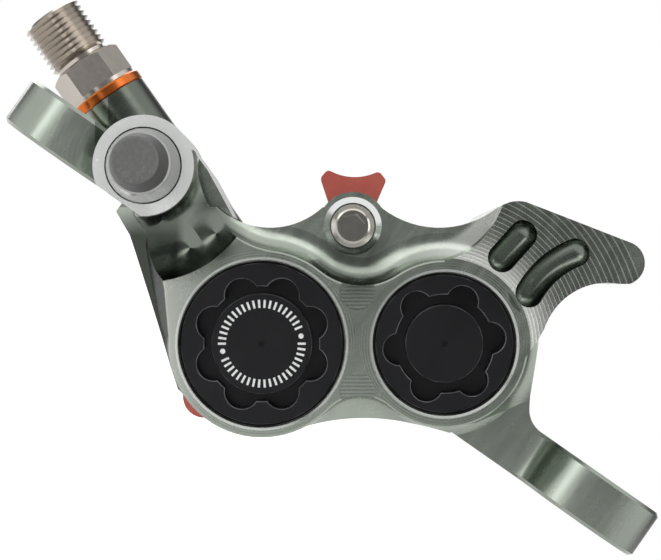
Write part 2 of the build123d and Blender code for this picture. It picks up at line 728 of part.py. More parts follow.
# Pistons and the two rings round each of them
for size, centre, bore in (("large", large_centre, large_bore_radius),
                           ("small", small_centre, small_bore_radius)):
    for half, away, reach in (("outer", -inward, rotor_offset - cap_inner_y),
                              ("inner", inward, blind_y - rotor_offset)):
        origin = spot(*centre, rotor_offset)
        axis = Axis(origin, away)
        radius = bore - piston_clearance
        cup_radius = radius - piston_cup_wall
        mouth = backing_face + piston_contact
        back = reach - piston_room
        cup_end = mouth + (back - mouth) * piston_cup_share
        with BuildPart() as piston:
            cup = half_section(origin, away, across, [
                (mouth, cup_radius), (cup_end, cup_radius), (cup_end, 0),
                (back, 0), (back, radius - piston_chamfer), (back - piston_chamfer, radius),
                (mouth + piston_chamfer, radius),
                (mouth, radius - piston_chamfer)])
            revolve(cup, axis=axis)
        finish(piston.part, f"{size}_{half}_piston")
        for kind, place, width, depth in (
                ("pressure_seal", pressure_seal_place, pressure_seal_width, pressure_seal_depth),
                ("dust_seal", dust_seal_place, dust_seal_width, dust_seal_depth)):
            near = place + seal_clearance
            far = place + width - seal_clearance
            with BuildPart() as seal:
                ring = half_section(origin, away, across, [
                    (near, bore), (far, bore), (far, bore + depth - seal_clearance),
                    (near, bore + depth - seal_clearance)])
                revolve(ring, axis=axis)
            finish(seal.part, f"{size}_{half}_{kind}")

# Brake pads: a steel backing with its tab on the pin, and the lining bonded to it
for half, side in (("outer", -1), ("inner", 1)):
    with BuildPart() as backing:
        with BuildSketch(face(rotor_offset + side * lining_back)):
            with Locations((pin_place, pad_top)):
                Rectangle(pad_length, pad_top - pad_bottom, align=(Align.CENTER, Align.MAX))
                Rectangle(pad_tab_width, pin_height - pad_top, align=(Align.CENTER, Align.MIN))
        extrude(amount=-side * backing_thickness)
        corners = backing.edges().filter_by(Axis.Y)
        inner_corners = corners.sort_by_distance(spot(pin_place, pad_top, rotor_offset))[:2]
        fillet(inner_corners, pad_tab_fillet)
        outer_corners = backing.edges().filter_by(Axis.Y).sort_by_distance(
            spot(pin_place, pad_bottom + pad_top, rotor_offset))[-4:]
        fillet(outer_corners, pad_corner_radius)
        with BuildSketch(face(rotor_offset + side * lining_back)):
            with Locations((pin_place, pin_height)):
                Circle(pad_tab_width / 2)
        extrude(amount=-side * backing_thickness)
        bar(spot(pin_place, pin_height, rotor_offset - pad_pocket_reach),
            spot(pin_place, pin_height, rotor_offset + pad_pocket_reach), pin_radius + pad_hole_clearance,
            Mode.SUBTRACT)
    finish(backing.part, f"{half}_pad_backing")
    with BuildPart() as lining:
        with BuildSketch(face(rotor_offset + side * lining_face)):
            with Locations((pin_place, (pad_top + pad_bottom) / 2)):
                RectangleRounded(pad_length - lining_inset * 2, pad_top - pad_bottom - lining_inset * 2,
                                 pad_corner_radius)
        extrude(amount=-side * lining_thickness)
        with BuildSketch(face(rotor_offset + side * lining_face)):
            with Locations((pin_place, (pad_top + pad_bottom) / 2)):
                Rectangle(lining_groove_width, pad_length, rotation=lining_groove_turn)
        extrude(amount=-side * lining_groove_depth, mode=Mode.SUBTRACT)
    finish(lining.part, f"{half}_pad_lining")

# Pad spring: two winged side plates with an eye for the pin, joined by a strap over it
eye = (pin_place, pin_height)
with BuildPart() as pad_spring:
    for side in (-1, 1):
        with BuildSketch(face(rotor_offset + side * spring_wing_place)):
            with Locations((pin_place, spring_wing_bottom)):
                RectangleRounded(spring_wing_length, spring_wing_top - spring_wing_bottom, spring_wing_round,
                                 align=(Align.CENTER, Align.MIN))
            with Locations(eye):
                Circle(spring_eye_radius)
                Circle(pin_radius + pad_hole_clearance, mode=Mode.SUBTRACT)
        extrude(amount=-side * spring_sheet)
    with BuildSketch(face(rotor_offset - spring_wing_place)):
        with Locations((pin_place, pin_height + spring_eye_radius)):
            Rectangle(spring_strap_width, spring_sheet, align=(Align.CENTER, Align.MAX))
    extrude(amount=-spring_wing_place * 2)
finish(pad_spring.part, "pad_spring")

# Pad pin: head with a hexagon socket, thread, plain shank and the groove for its clip
pin_front_y = pin_seat_y - pin_head_length
pin_front = spot(pin_place, pin_height, pin_front_y)
pin_length = back_y + pin_end_reach - pin_front_y
groove_start = back_y + pin_groove_place - pin_front_y - clip_wire / 2 - clip_clearance
groove_end = groove_start + clip_wire + clip_clearance * 2
thread_end = pin_head_length + pin_thread_length
with BuildPart() as pad_pin:
    shaft = half_section(pin_front, inward, across, [
        (0, 0), (0, pin_crown_radius), (pin_head_chamfer, pin_head_radius),
        (pin_head_length, pin_head_radius), (pin_head_length, pin_thread_radius),
        (thread_end - pin_head_chamfer, pin_thread_radius), (thread_end, pin_radius),
        (groove_start, pin_radius), (groove_start, pin_groove_radius), (groove_end, pin_groove_radius),
        (groove_end, pin_radius), (pin_length - pin_head_chamfer, pin_radius),
        (pin_length, pin_radius - pin_head_chamfer), (pin_length, 0)])
    revolve(shaft, axis=Axis(pin_front, inward))
    with BuildSketch(face(pin_front_y)):
        with Locations(eye):
            RegularPolygon(pin_socket_flats / 2, 6, major_radius=False, rotation=pin_socket_turn)
    extrude(amount=-pin_socket_depth, mode=Mode.SUBTRACT)
finish(pad_pin.part, "pad_pin")

# Clip: an open wire ring in the groove of the pin
with BuildPart() as pad_pin_clip:
    with BuildSketch(Plane(origin=pin_front, x_dir=inward, z_dir=inward.cross(across))) as wire:
        with Locations(((groove_start + groove_end) / 2, pin_groove_radius + clip_clearance + clip_wire / 2)):
            Circle(clip_wire / 2)
    revolve(wire.sketch, axis=Axis(pin_front, inward), revolution_arc=360 - clip_opening)
finish(pad_pin_clip.part, "pad_pin_clip")

# Hose washer and connector, along the axis of the hose boss
outward = -hose_axis
with BuildPart() as hose_washer:
    ring = half_section(hose_start, outward, inward, [
        (0, washer_bore_radius), (0, washer_radius - washer_edge), (washer_edge, washer_radius),
        (washer_thickness - washer_edge, washer_radius), (washer_thickness, washer_radius - washer_edge),
        (washer_thickness, washer_bore_radius)])
    revolve(ring, axis=Axis(hose_start, outward))
finish(hose_washer.part, "hose_washer")

collar_end = washer_thickness + connector_collar_length
hex_end = collar_end + connector_hex_length
thread_start = hex_end + connector_neck_length
connector_length = thread_start + connector_thread_pitch * connector_threads
hex_corner = connector_hex_flats / sqrt(3)
stem_radius = hose_thread_radius - connector_stem_clearance
with BuildPart() as hose_connector:
    hex_plane = Plane(origin=hose_start + outward * collar_end, x_dir=outward.cross(inward), z_dir=outward)
    with BuildSketch(hex_plane):
        RegularPolygon(connector_hex_flats / 2, 6, major_radius=False)
    extrude(amount=connector_hex_length)
    barrel = half_section(hose_start, outward, inward, [
        (collar_end, 0), (collar_end, hex_corner), (hex_end - connector_hex_chamfer, hex_corner),
        (hex_end, hex_corner - connector_hex_chamfer * connector_chamfer_share), (hex_end, 0)])
    revolve(barrel, axis=Axis(hose_start, outward), mode=Mode.INTERSECT)
    thread_points = [(hex_end, 0), (hex_end, connector_thread_root), (thread_start, connector_thread_root)]
    for turn in range(connector_threads):
        turn_start = thread_start + turn * connector_thread_pitch
        thread_points.append((turn_start + connector_thread_pitch / 2, connector_thread_crest))
        thread_points.append((turn_start + connector_thread_pitch, connector_thread_root))
    thread_points.append((connector_length, 0))
    thread = half_section(hose_start, outward, inward, thread_points)
    revolve(thread, axis=Axis(hose_start, outward))
    stem = half_section(hose_start, outward, inward, [
        (-connector_stem_length, 0), (-connector_stem_length, stem_radius - connector_hex_chamfer),
        (connector_hex_chamfer - connector_stem_length, stem_radius), (washer_thickness, stem_radius),
        (washer_thickness, connector_collar_radius), (collar_end, connector_collar_radius), (collar_end, 0)])
    revolve(stem, axis=Axis(hose_start, outward))
    bar(hose_start - outward * connector_stem_length, hose_start + outward * connector_length,
        connector_bore_radius, Mode.SUBTRACT)
    seat = half_section(hose_start, outward, inward, [
        (connector_length, 0), (connector_length, connector_cone_radius),
        (connector_length - connector_cone_depth, connector_bore_radius),
        (connector_length - connector_cone_depth, 0)])
    revolve(seat, axis=Axis(hose_start, outward), mode=Mode.SUBTRACT)
finish(hose_connector.part, "hose_connector")

# Bleed nipple: coned stem, tapered collar, hexagon and barb
collar_top = bleed_seat_depth + nipple_collar_height
hex_top = collar_top + nipple_hex_height
barb_top = hex_top + nipple_barb_height
stem_end = nipple_gap - bleed_thread_length
stem_radius = bleed_thread_radius - nipple_stem_clearance
with BuildPart() as bleed_nipple:
    body = half_section(bleed_seat, -inward, across, [
        (stem_end, 0), (stem_end, nipple_barb_radius), (stem_end + nipple_cone_length, stem_radius),
        (nipple_gap, stem_radius), (nipple_gap, nipple_collar_radius),
        (bleed_seat_depth + nipple_collar_edge, nipple_collar_radius),
        (collar_top - nipple_collar_edge, nipple_collar_top_radius),
        (collar_top, nipple_collar_top_radius - nipple_collar_edge), (collar_top, nipple_neck_radius),
        (barb_top - nipple_barb_height / 2, nipple_neck_radius),
        (barb_top - nipple_barb_height / 2, nipple_barb_radius), (barb_top, nipple_neck_radius),
        (barb_top, 0)])
    revolve(body, axis=Axis(bleed_seat, -inward))
    with BuildSketch(face(bleed_seat_y - collar_top)):
        with Locations((bleed_across, bleed_up)):
            RegularPolygon(nipple_hex_flats / 2, 6, major_radius=False)
    extrude(amount=nipple_hex_height)
    bar(bleed_seat + inward * (bleed_thread_length / 2 + nipple_bore_radius), bleed_seat - inward * barb_top,
        nipple_bore_radius, Mode.SUBTRACT)
    cross_drilling = bleed_seat + inward * (bleed_thread_length / 2)
    bar(cross_drilling - across * bleed_thread_radius, cross_drilling + across * bleed_thread_radius,
        nipple_cross_radius, Mode.SUBTRACT)
finish(bleed_nipple.part, "bleed_nipple")

# Rubber dust cap over the hexagon and the barb
cap_start = collar_top + dust_cap_gap
cap_end = cap_start + dust_cap_height
hex_room = nipple_hex_flats / sqrt(3) + dust_cap_hex_clearance
barb_room = nipple_barb_radius + dust_cap_hex_clearance
with BuildPart() as bleed_dust_cap:
    cup = half_section(bleed_seat, -inward, across, [
        (cap_start, hex_room), (cap_start, dust_cap_skirt_radius), (cap_end, dust_cap_top_radius),
        (cap_end, 0), (barb_top + dust_cap_hex_clearance, 0), (barb_top + dust_cap_hex_clearance, barb_room),
        (hex_top + dust_cap_hex_clearance, barb_room), (hex_top + dust_cap_hex_clearance, hex_room)])
    revolve(cup, axis=Axis(bleed_seat, -inward))
    fillet(bleed_dust_cap.edges().sort_by(Axis.Y)[0], dust_cap_fillet)
finish(bleed_dust_cap.part, "bleed_dust_cap")

# Transport spacer: a fork between the pads, with two horns above the pin to pull it by
neck = [(pin_place + share[0] * spacer_horn_span, spacer_neck_base + share[1] * spacer_horn_span)
        for share in spacer_horn_shares]
skirt_left = pin_place - spacer_skirt_width / 2
skirt_right = pin_place + spacer_skirt_width / 2
skirt_top = spacer_neck_base - spacer_skirt_slope
leg_top = spacer_shoulder - spacer_leg_slope
with BuildPart() as pad_spacer:
    with BuildSketch(face(rotor_offset - spacer_thickness / 2)) as fork:
        with BuildLine():
            Polyline(neck[0], (skirt_left, skirt_top), (skirt_left, spacer_shoulder),
                     (spacer_leg_left, leg_top), (spacer_leg_left, spacer_foot_top),
                     (spacer_left, spacer_foot_top),
                     (spacer_left, spacer_bottom), (spacer_leg_left, spacer_bottom),
                     (spacer_leg_left + spacer_corner / 2, spacer_leg_bottom),
                     (spacer_leg_right, spacer_leg_bottom), (spacer_leg_right, leg_top),
                     (skirt_right, spacer_shoulder), (skirt_right, skirt_top), neck[-1], neck[-2])
            Line(neck[5], neck[4])
            ThreePointArc(neck[4], neck[3], neck[2])
            Polyline(neck[2], neck[1], neck[0])
        make_face()
        with Locations((pin_place, spacer_leg_bottom)):
            Rectangle(spacer_slot_width, spacer_neck_base - spacer_leg_bottom,
                      align=(Align.CENTER, Align.MIN), mode=Mode.SUBTRACT)
        for horn_corner in (neck[1], neck[2], neck[4], neck[5]):
            fillet(fork.vertices().sort_by_distance(horn_corner)[0], spacer_horn_round)
        fillet(fork.vertices().sort_by_distance((spacer_left, spacer_bottom))[0], spacer_corner)
    extrude(amount=-spacer_thickness)
finish(pad_spacer.part, "pad_spacer")
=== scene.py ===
"""A four-piston bicycle disc brake caliper: its finishes, printed marks, light, floor and camera.

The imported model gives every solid. This script dresses each of them, adds the ring of printed marks,
and sets up the picture. Lengths are in metres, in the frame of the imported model: X along the ears,
Z up and Y away from the photographed face.
"""
import json
import logging
import math
from dataclasses import dataclass, field
from enum import Enum
from functools import cached_property, partial, reduce

import bpy
from mathutils import Matrix, Vector

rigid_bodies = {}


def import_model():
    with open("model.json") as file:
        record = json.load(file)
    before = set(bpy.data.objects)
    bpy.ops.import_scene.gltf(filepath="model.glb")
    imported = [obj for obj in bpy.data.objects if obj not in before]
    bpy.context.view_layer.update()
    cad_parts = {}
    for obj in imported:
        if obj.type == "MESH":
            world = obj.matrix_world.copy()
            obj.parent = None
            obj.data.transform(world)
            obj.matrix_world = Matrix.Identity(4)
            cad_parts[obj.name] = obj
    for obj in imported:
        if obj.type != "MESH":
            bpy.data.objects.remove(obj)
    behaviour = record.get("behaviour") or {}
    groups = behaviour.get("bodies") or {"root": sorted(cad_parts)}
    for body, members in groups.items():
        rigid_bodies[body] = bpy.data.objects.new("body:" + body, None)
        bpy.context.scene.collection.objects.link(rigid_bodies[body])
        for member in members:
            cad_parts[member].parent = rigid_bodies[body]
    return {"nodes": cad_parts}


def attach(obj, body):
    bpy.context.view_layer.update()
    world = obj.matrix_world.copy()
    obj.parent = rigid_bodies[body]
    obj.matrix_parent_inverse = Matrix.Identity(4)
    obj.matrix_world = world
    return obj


Pair = tuple[float, float]
Triple = tuple[float, float, float]
Colour = Triple
Socket = bpy.types.NodeSocket

LOG = logging.getLogger("caliper")
NODES: dict[str, bpy.types.Object] = {}
MM = 0.001
TILT = math.radians(34.9)  # how far the photograph's right is turned up from +X
AWAY = Vector((0.0, 1.0, 0.0))
LARGE_BORE = Vector((-4.94, 0.0, -3.93)) * MM
SMALL_BORE = Vector((12.12, 0.0, 7.97)) * MM
BLEED_AXIS = Vector((-27.5, 0.0, 5.0)) * MM
PIN_AXIS = Vector((-4.13, 0.0, 13.09)) * MM
MIDDLE = (0.3, 0.7)  # most of a noise lies between these levels


class Sum(Enum):
    """The sums that the finishes do on levels, by their names in a Math node."""

    ADD = "ADD"
    SUBTRACT = "SUBTRACT"
    MULTIPLY = "MULTIPLY"
    DIVIDE = "DIVIDE"
    LOWER = "MINIMUM"
    HIGHER = "MAXIMUM"
    UNDER = "LESS_THAN"
    OVER = "GREATER_THAN"
    SIZE = "ABSOLUTE"
    WHOLE = "FLOOR"
    REST = "FRACT"
    ROOT = "SQRT"
    SINE = "SINE"


def in_row(right: float, up: float, depth: float) -> Vector:
    """A place given in the photograph's own directions, in the row frame.

    Args:
        right: Distance to the photograph's right of the origin, in metres.
        up: Distance up the photograph, in metres.
        depth: Distance away from the viewer, along +Y.

    Returns:
        The same place in the row frame.
    """
    across = right * math.cos(TILT) - up * math.sin(TILT)
    height = right * math.sin(TILT) + up * math.cos(TILT)
    return Vector((across, depth, height))


def spot(right: float, up: float) -> Vector:
    """A place on the photographed face, given in millimetres right and up."""
    return in_row(right * MM, up * MM, 0.0)


def srgb(red: int, green: int, blue: int) -> Colour:
    """A colour of a screen, 0 to 255 each, as the linear colour that shaders take.

    Args:
        red: Red level.
        green: Green level.
        blue: Blue level.

    Returns:
        The linear colour.
    """
    levels = (red / 255, green / 255, blue / 255)
    linear = [level / 12.92 if level <= 0.04045 else ((level + 0.055) / 1.055) ** 2.4 for level in levels]
    return linear[0], linear[1], linear[2]


def scaled(colour: Colour, factor: float) -> Colour:
    """A colour made darker or paler by a factor."""
    return colour[0] * factor, colour[1] * factor, colour[2] * factor


class Graph:
    """One material's node tree, with short calls that add its nodes and join them."""

    def __init__(self, name: str) -> None:
        """Makes the material with one Principled shader.

        Args:
            name: The material's name.
        """
        self.material = bpy.data.materials.new(name)
        self.material.use_nodes = True
        self.tree = self.material.node_tree
        self.tree.nodes.clear()
        self.shader = self.tree.nodes.new("ShaderNodeBsdfPrincipled")
        output = self.tree.nodes.new("ShaderNodeOutputMaterial")
        self.tree.links.new(self.shader.outputs["BSDF"], output.inputs["Surface"])
        self.coords = self.tree.nodes.new("ShaderNodeTexCoord").outputs["Object"]

    @cached_property
    def depth(self) -> Socket:
        """How far back a point lies, its Y."""
        return self.add("ShaderNodeSeparateXYZ", {0: self.coords}).outputs["Y"]

    @cached_property
    def along(self) -> Socket:
        """How far a point lies to the photograph's right."""
        return self.reach(in_row(1.0, 0.0, 0.0))

    @cached_property
    def upward(self) -> Socket:
        """How far a point lies up the photograph."""
        return self.reach(in_row(0.0, 1.0, 0.0))

    def add(self, kind: str, inputs: dict, **settings: object) -> bpy.types.Node:
        """Adds a node, with numbers set on its sockets and sockets joined to them.

        Args:
            kind: The node's type.
            inputs: A number, colour or socket for each input, by name or by index.
            settings: The node's own settings.

        Returns:
            The node.
        """
        node = self.tree.nodes.new(kind)
        for key, setting in settings.items():
            setattr(node, key, setting)
        for key, content in inputs.items():
            if isinstance(content, Socket):
                self.tree.links.new(content, node.inputs[key])
            else:
                node.inputs[key].default_value = content
        return node

    def set(self, **numbers: object) -> None:
        """Sets the shader's own sockets. A name's underscores stand for spaces.

        Args:
            numbers: A number, colour or socket for each of the shader's inputs.
        """
        for key, content in numbers.items():
            place = self.shader.inputs[key.replace("_", " ")]
            if isinstance(content, Socket):
                self.tree.links.new(content, place)
            elif isinstance(content, tuple) and len(content) == 3:
                place.default_value = (*content, 1.0)
            else:
                place.default_value = content

    def math(self, operation: Sum, first: object, second: object = 0.0) -> Socket:
        """The result of one sum on two numbers or sockets."""
        return self.add("ShaderNodeMath", {0: first, 1: second}, operation=operation.value).outputs[0]

    def times(self, *levels: object) -> Socket:
        """The product of several levels."""
        return reduce(partial(self.math, Sum.MULTIPLY), levels)

    def most(self, *levels: object) -> Socket:
        """The highest of several levels."""
        return reduce(partial(self.math, Sum.HIGHER), levels)

    def least(self, *levels: object) -> Socket:
        """The lowest of several levels."""
        return reduce(partial(self.math, Sum.LOWER), levels)

    def over(self, level: object, limit: float) -> Socket:
        """A level of 1 above a limit, and 0 elsewhere."""
        return self.math(Sum.OVER, level, limit)

    def under(self, level: object, limit: float) -> Socket:
        """A level of 1 below a limit, and 0 elsewhere."""
        return self.math(Sum.UNDER, level, limit)

    def within(self, level: object, ends: Pair) -> Socket:
        """A level of 1 between two limits, and 0 elsewhere."""
        return self.times(self.over(level, ends[0]), self.under(level, ends[1]))

    def apart(self, level: object, middle: float) -> Socket:
        """How far a level is from a middle, either way."""
        return self.math(Sum.SIZE, self.math(Sum.SUBTRACT, level, middle))

    def spread(self, level: object, low: float, high: float, start: float = 0.0, end: float = 1.0) -> Socket:
        """A level taken from one range to another.

        Args:
            level: The socket that is read.
            low: The result at the range's start.
            high: The result at the range's end.
            start: The level that gives the low result.
            end: The level that gives the high result.

        Returns:
            The new level's socket.
        """
        wanted = {"Value": level, "From Min": start, "From Max": end, "To Min": low, "To Max": high}
        return self.add("ShaderNodeMapRange", wanted).outputs["Result"]

    def rise(self, level: object, ends: Pair, top: float = 1.0) -> Socket:
        """A level that climbs from 0 to its top between two ends."""
        return self.spread(level, 0.0, top, *ends)

    def fade(self, level: object, ends: Pair, top: float = 1.0) -> Socket:
        """A level that falls from its top to 0 between two ends."""
        return self.spread(level, top, 0.0, *ends)

    def swing(self, level: object, middle: float, down: float, up: float) -> Socket:
        """A level of 0 to 1 taken to a little less and a little more than a middle."""
        return self.spread(level, middle - down, middle + up)

    def noise(self, scale: float, detail: float = 2.0, vector: Socket | None = None) -> Socket:
        """Noise from 0 to 1 on the object's own coordinates, or on a given vector.

        Args:
            scale: Grains per metre.
            detail: Octaves of finer grain.
            vector: Another vector to read, or None.

        Returns:
            The noise's socket.
        """
        wanted = {"Vector": self.coords if vector is None else vector, "Scale": scale, "Detail": detail}
        return self.add("ShaderNodeTexNoise", wanted).outputs["Fac"]

    def streaks(self, scale: Triple, detail: float) -> Socket:
        """Noise drawn out along one axis, with grains per metre given for each axis."""
        drawn = self.add("ShaderNodeMapping", {"Vector": self.coords, "Scale": scale}).outputs[0]
        return self.noise(1.0, detail, drawn)

    def cells(self, scale: float, output: str) -> Socket:
        """Small round cells on the object's own coordinates, as their distance or their colour."""
        return self.add("ShaderNodeTexVoronoi", {"Vector": self.coords, "Scale": scale}).outputs[output]

    def blend(self, share: object, first: object, second: object) -> Socket:
        """A mix of two colours.

        Args:
            share: The second colour's share.
            first: The first colour or its socket.
            second: The second colour or its socket.

        Returns:
            The mixed colour's socket.
        """
        wanted = {"Factor": share}
        for key, colour in ((6, first), (7, second)):
            wanted[key] = colour if isinstance(colour, Socket) else (*colour, 1.0)
        return self.add("ShaderNodeMix", wanted, data_type="RGBA").outputs[2]

    def bump(self, level: Socket, height: float, strength: float, below: Socket | None = None) -> Socket:
        """Relief from a level of 0 to 1.

        Args:
            level: The level's socket.
            height: How high a level of 1 stands, in metres.
            strength: How strongly the relief tilts the surface.
            below: The relief that this one is added to, or None.

        Returns:
            The normal's socket.
        """
        wanted = {"Height": level, "Distance": height, "Strength": strength}
        if below is not None:
            wanted["Normal"] = below
        return self.add("ShaderNodeBump", wanted).outputs["Normal"]

    def reach(self, direction: Vector) -> Socket:
        """How far a point lies from the origin along a direction."""
        turned = {0: self.coords, 1: direction}
        return self.add("ShaderNodeVectorMath", turned, operation="DOT_PRODUCT").outputs["Value"]

    def radius(self, centre: Vector, axis: Vector = AWAY) -> Socket:
        """The distance of a point from a straight line.

        Args:
            centre: A point on the line.
            axis: The line's direction.

        Returns:
            The distance's socket.
        """
        place = self.add("ShaderNodeVectorMath", {0: self.coords, 1: centre}, operation="SUBTRACT").outputs[0]
        turned = self.add("ShaderNodeVectorMath", {0: place, 1: axis.normalized()}, operation="CROSS_PRODUCT")
        return self.add("ShaderNodeVectorMath", {0: turned.outputs[0]}, operation="LENGTH").outputs["Value"]

    def waves(self, distance: Socket, pitch: float) -> Socket:
        """Ridges one pitch apart along a distance, as a level of 0 to 1."""
        wave = self.math(Sum.SINE, self.times(distance, 2 * math.pi / pitch))
        return self.spread(wave, 0.0, 1.0, -1.0, 1.0)


@dataclass(frozen=True)
class MachinedAlloy:
    """Anodised aluminium, with the terraces of the fin and the marks that each cutter left, and with painted
    shade and painted highlights in its colour.

    A pair gives the two places or levels between which a shade fades, and a relief's pair gives its height
    in metres and its strength. Places along Y are front, front_foot, shelf, boss_face and collar_foot.
    """

    name: str
    colour: Colour
    pale: Colour
    deep: Colour
    # painted highlight along each edge of the fin's terraces
    edge_highlight: Colour
    large: Vector
    small: Vector
    bleed: Vector
    pin: Vector
    web: tuple[Vector, ...]
    fin_pockets: tuple[Vector, ...]
    dimples: Vector
    arm: Vector
    crescent: Vector
    dip: Vector
    dents: tuple[tuple[Vector, float], ...]
    shade: Colour = srgb(72, 79, 71)
    flank_shade: Colour = srgb(44, 49, 43)
    # painted highlight on the pad pin's collar, the bleed boss's face and the bore mouths
    painted_highlight: Colour = srgb(226, 228, 226)
    cloud_scale: float = 70.0
    cloud_share: float = 0.6
    front: float = -10.0 * MM
    front_foot: float = -9.6 * MM
    shelf: float = -5.9 * MM
    left_fade: Pair = (-18.0 * MM, -11.0 * MM)
    left_share: float = 0.6
    first_step: float = 9.75 * MM
    step_rise: float = 0.2 * MM
    step_slope: float = 0.372 * MM
    step_growth: float = 0.008 * MM
    step_count: float = 25.0
    step_room: float = 0.55
    fin_start: float = -0.5 * MM
    fin_foot: float = -9.0 * MM
    tread_fade: Pair = (2.0, 11.0)
    tread_less_metal: float = 0.75
    less_metal_steps: Pair = (0.0, 9.0)
    line_place: float = 0.86
    line_width: Pair = (0.03, 0.16)
    line_share: float = 0.85
    edge_fall: Pair = (0.72, 1.0)
    pocket_edge: float = 0.12 * MM
    pocket_floor: float = 4.9 * MM
    pocket_reach: float = 2.45 * MM
    pocket_share: float = 0.6
    collar_radius: float = 3.38 * MM
    collar_foot: float = -6.03 * MM
    boss_face: float = -10.9 * MM
    boss_radius: float = 5.74 * MM
    boss_less_metal: float = 0.8
    flank_across: Pair = (-16.2 * MM, -15.2 * MM)
    flank_up: Pair = (12.0 * MM, 15.0 * MM)
    flank_edge: float = 0.25 * MM
    flank_share: float = 0.9
    arm_fade: Pair = (4.0 * MM, 7.0 * MM)
    arm_share: float = 0.6
    tube_across: Pair = (-25.5 * MM, -15.0 * MM)
    tube_foot: float = 20.5 * MM
    tube_share: float = 0.7
    dip_fade: Pair = (2.0 * MM, 5.2 * MM)
    dip_share: float = 0.5
    cove_start: Pair = (7.4 * MM, 8.0 * MM)
    cove_end: float = 9.6 * MM
    cove_across: Pair = (11.0 * MM, 17.0 * MM)
    cove_top: float = 15.5 * MM
    cove_share: float = 0.8
    cove_less_metal: float = 0.7
    large_mouth: float = 9.72 * MM
    small_mouth: float = 8.37 * MM
    mouth_width: Pair = (0.05 * MM, 0.2 * MM)
    mouth_share: float = 0.65
    fine_pitch: float = 0.3 * MM
    coarse_pitch: float = 0.55 * MM
    large_rings: Pair = (10.7 * MM, 10.9 * MM)
    small_rings: Pair = (9.5 * MM, 9.7 * MM)
    boss_rings_start: Pair = (6.2 * MM, 7.4 * MM)
    boss_rings_end: Pair = (11.0 * MM, 13.0 * MM)
    web_pitch: float = 0.42 * MM
    web_radius: float = 2.03 * MM
    dimple_scale: float = 1500.0
    dimple_rim: Pair = (0.0, 0.7)
    dimple_fade: Pair = (1.0 * MM, 2.4 * MM)
    roughness: float = 0.24
    grain_scale: float = 2600.0
    grain_swing: float = 0.02
    draw_scale: Triple = (900.0, 900.0, 160.0)
    draw_swing: float = 0.05
    ring_relief: Pair = (0.003 * MM, 0.5)
    web_relief: Pair = (0.006 * MM, 0.5)
    dimple_relief: Pair = (0.03 * MM, 0.6)
    dent_relief: Pair = (0.8 * MM, 0.8)
    step_relief: Pair = (0.06 * MM, 0.7)

    def build(self) -> bpy.types.Material:
        """Makes the material.

        Returns:
            The material.
        """
        graph = Graph(self.name)
        step, terrace, sunk = self.terraces(graph)
        share = graph.math(Sum.REST, step)
        side, boss, cove = self.left_end(graph), self.boss(graph), self.cove(graph)
        # Painted shade in the fin pockets, on the flank and in the hollows, and painted highlights on the pin
        # collar, the left end, the cove, the boss face and the bore mouths.
        layers = (
            (graph.rise(graph.noise(self.cloud_scale), MIDDLE, self.cloud_share), self.deep),
            (terrace, self.treads(graph, step, share)),
            (self.pocket_floors(graph, sunk), self.shade),
            (self.collar(graph), self.painted_highlight),
            (side, self.pale),
            (self.flank(graph), self.flank_shade),
            (cove, self.pale),
            (self.hollows(graph), self.shade),
            (boss, self.painted_highlight),
            (self.mouth(graph, self.large, self.large_mouth), self.painted_highlight),
            (self.mouth(graph, self.small, self.small_mouth), self.painted_highlight),
        )
        colour = self.colour
        for level, tint in layers:
            colour = graph.blend(level, colour, tint)
        # The painted highlights on the boss face, left end and cove, and the treads near the bore, are made
        # less metallic so that their colour shows.
        near = graph.times(graph.fade(step, self.less_metal_steps, self.tread_less_metal), terrace)
        less_metal = graph.most(graph.times(boss, self.boss_less_metal), near, side, graph.times(cove, self.cove_less_metal))
        graph.set(Metallic=graph.spread(less_metal, 1.0, 0.0), Base_Color=colour)

        grain = graph.noise(self.grain_scale, detail=1.0)
        grain = graph.swing(grain, self.roughness, self.grain_swing, self.grain_swing)
        drawn = graph.streaks(self.draw_scale, detail=2.0)
        drawn = graph.spread(drawn, -self.draw_swing, self.draw_swing, *MIDDLE)
        graph.set(Roughness=graph.math(Sum.ADD, grain, drawn))

        reliefs = (
            (self.mill_rings(graph), self.ring_relief),
            (self.web_lines(graph), self.web_relief),
            (self.dimple_patch(graph), self.dimple_relief),
            (self.scoops(graph), self.dent_relief),
            (graph.times(graph.fade(share, self.edge_fall), terrace), self.step_relief),
        )
        relief = None
        for level, (height, strength) in reliefs:
            relief = graph.bump(level, height, strength, relief)
        graph.set(Normal=relief)
        return graph.material

    def terraces(self, graph: Graph) -> tuple[Socket, Socket, Socket]:
        """Which terrace of the fin a point is on. Each is a little wider than the one before it.

        Args:
            graph: The material's nodes.

        Returns:
            The terrace's number with its share, a level of 1 on the terraces alone, and how far below its
            terrace the point lies.
        """
        past = graph.math(Sum.SUBTRACT, graph.radius(self.small), self.first_step)
        inside = graph.math(Sum.ADD, graph.times(past, 4 * self.step_growth), self.step_slope**2)
        root = graph.math(Sum.ROOT, graph.most(inside, 0.0))
        step = graph.math(Sum.DIVIDE, graph.math(Sum.SUBTRACT, root, self.step_slope), 2 * self.step_growth)
        tread = graph.times(graph.math(Sum.ADD, graph.math(Sum.WHOLE, step), 1.0), self.step_rise)
        sunk = graph.math(Sum.SUBTRACT, graph.depth, graph.math(Sum.ADD, tread, self.front))
        beside = self.small.dot(in_row(1.0, 0.0, 0.0)) + self.fin_start
        here = graph.times(
            graph.under(graph.math(Sum.SIZE, sunk), self.step_room * self.step_rise), graph.over(past, 0.0),
            graph.under(step, self.step_count), graph.over(graph.along, beside),
            graph.over(graph.upward, self.fin_foot))
        return step, here, sunk

    def treads(self, graph: Graph, step: Socket, share: Socket) -> Socket:
        """The terraces' colour, paler near the bore, with a painted highlight along each edge.

        Args:
            graph: The material's nodes.
            step: The terrace's number with its share.
            share: How far across its terrace a point is.

        Returns:
            The colour's socket.
        """
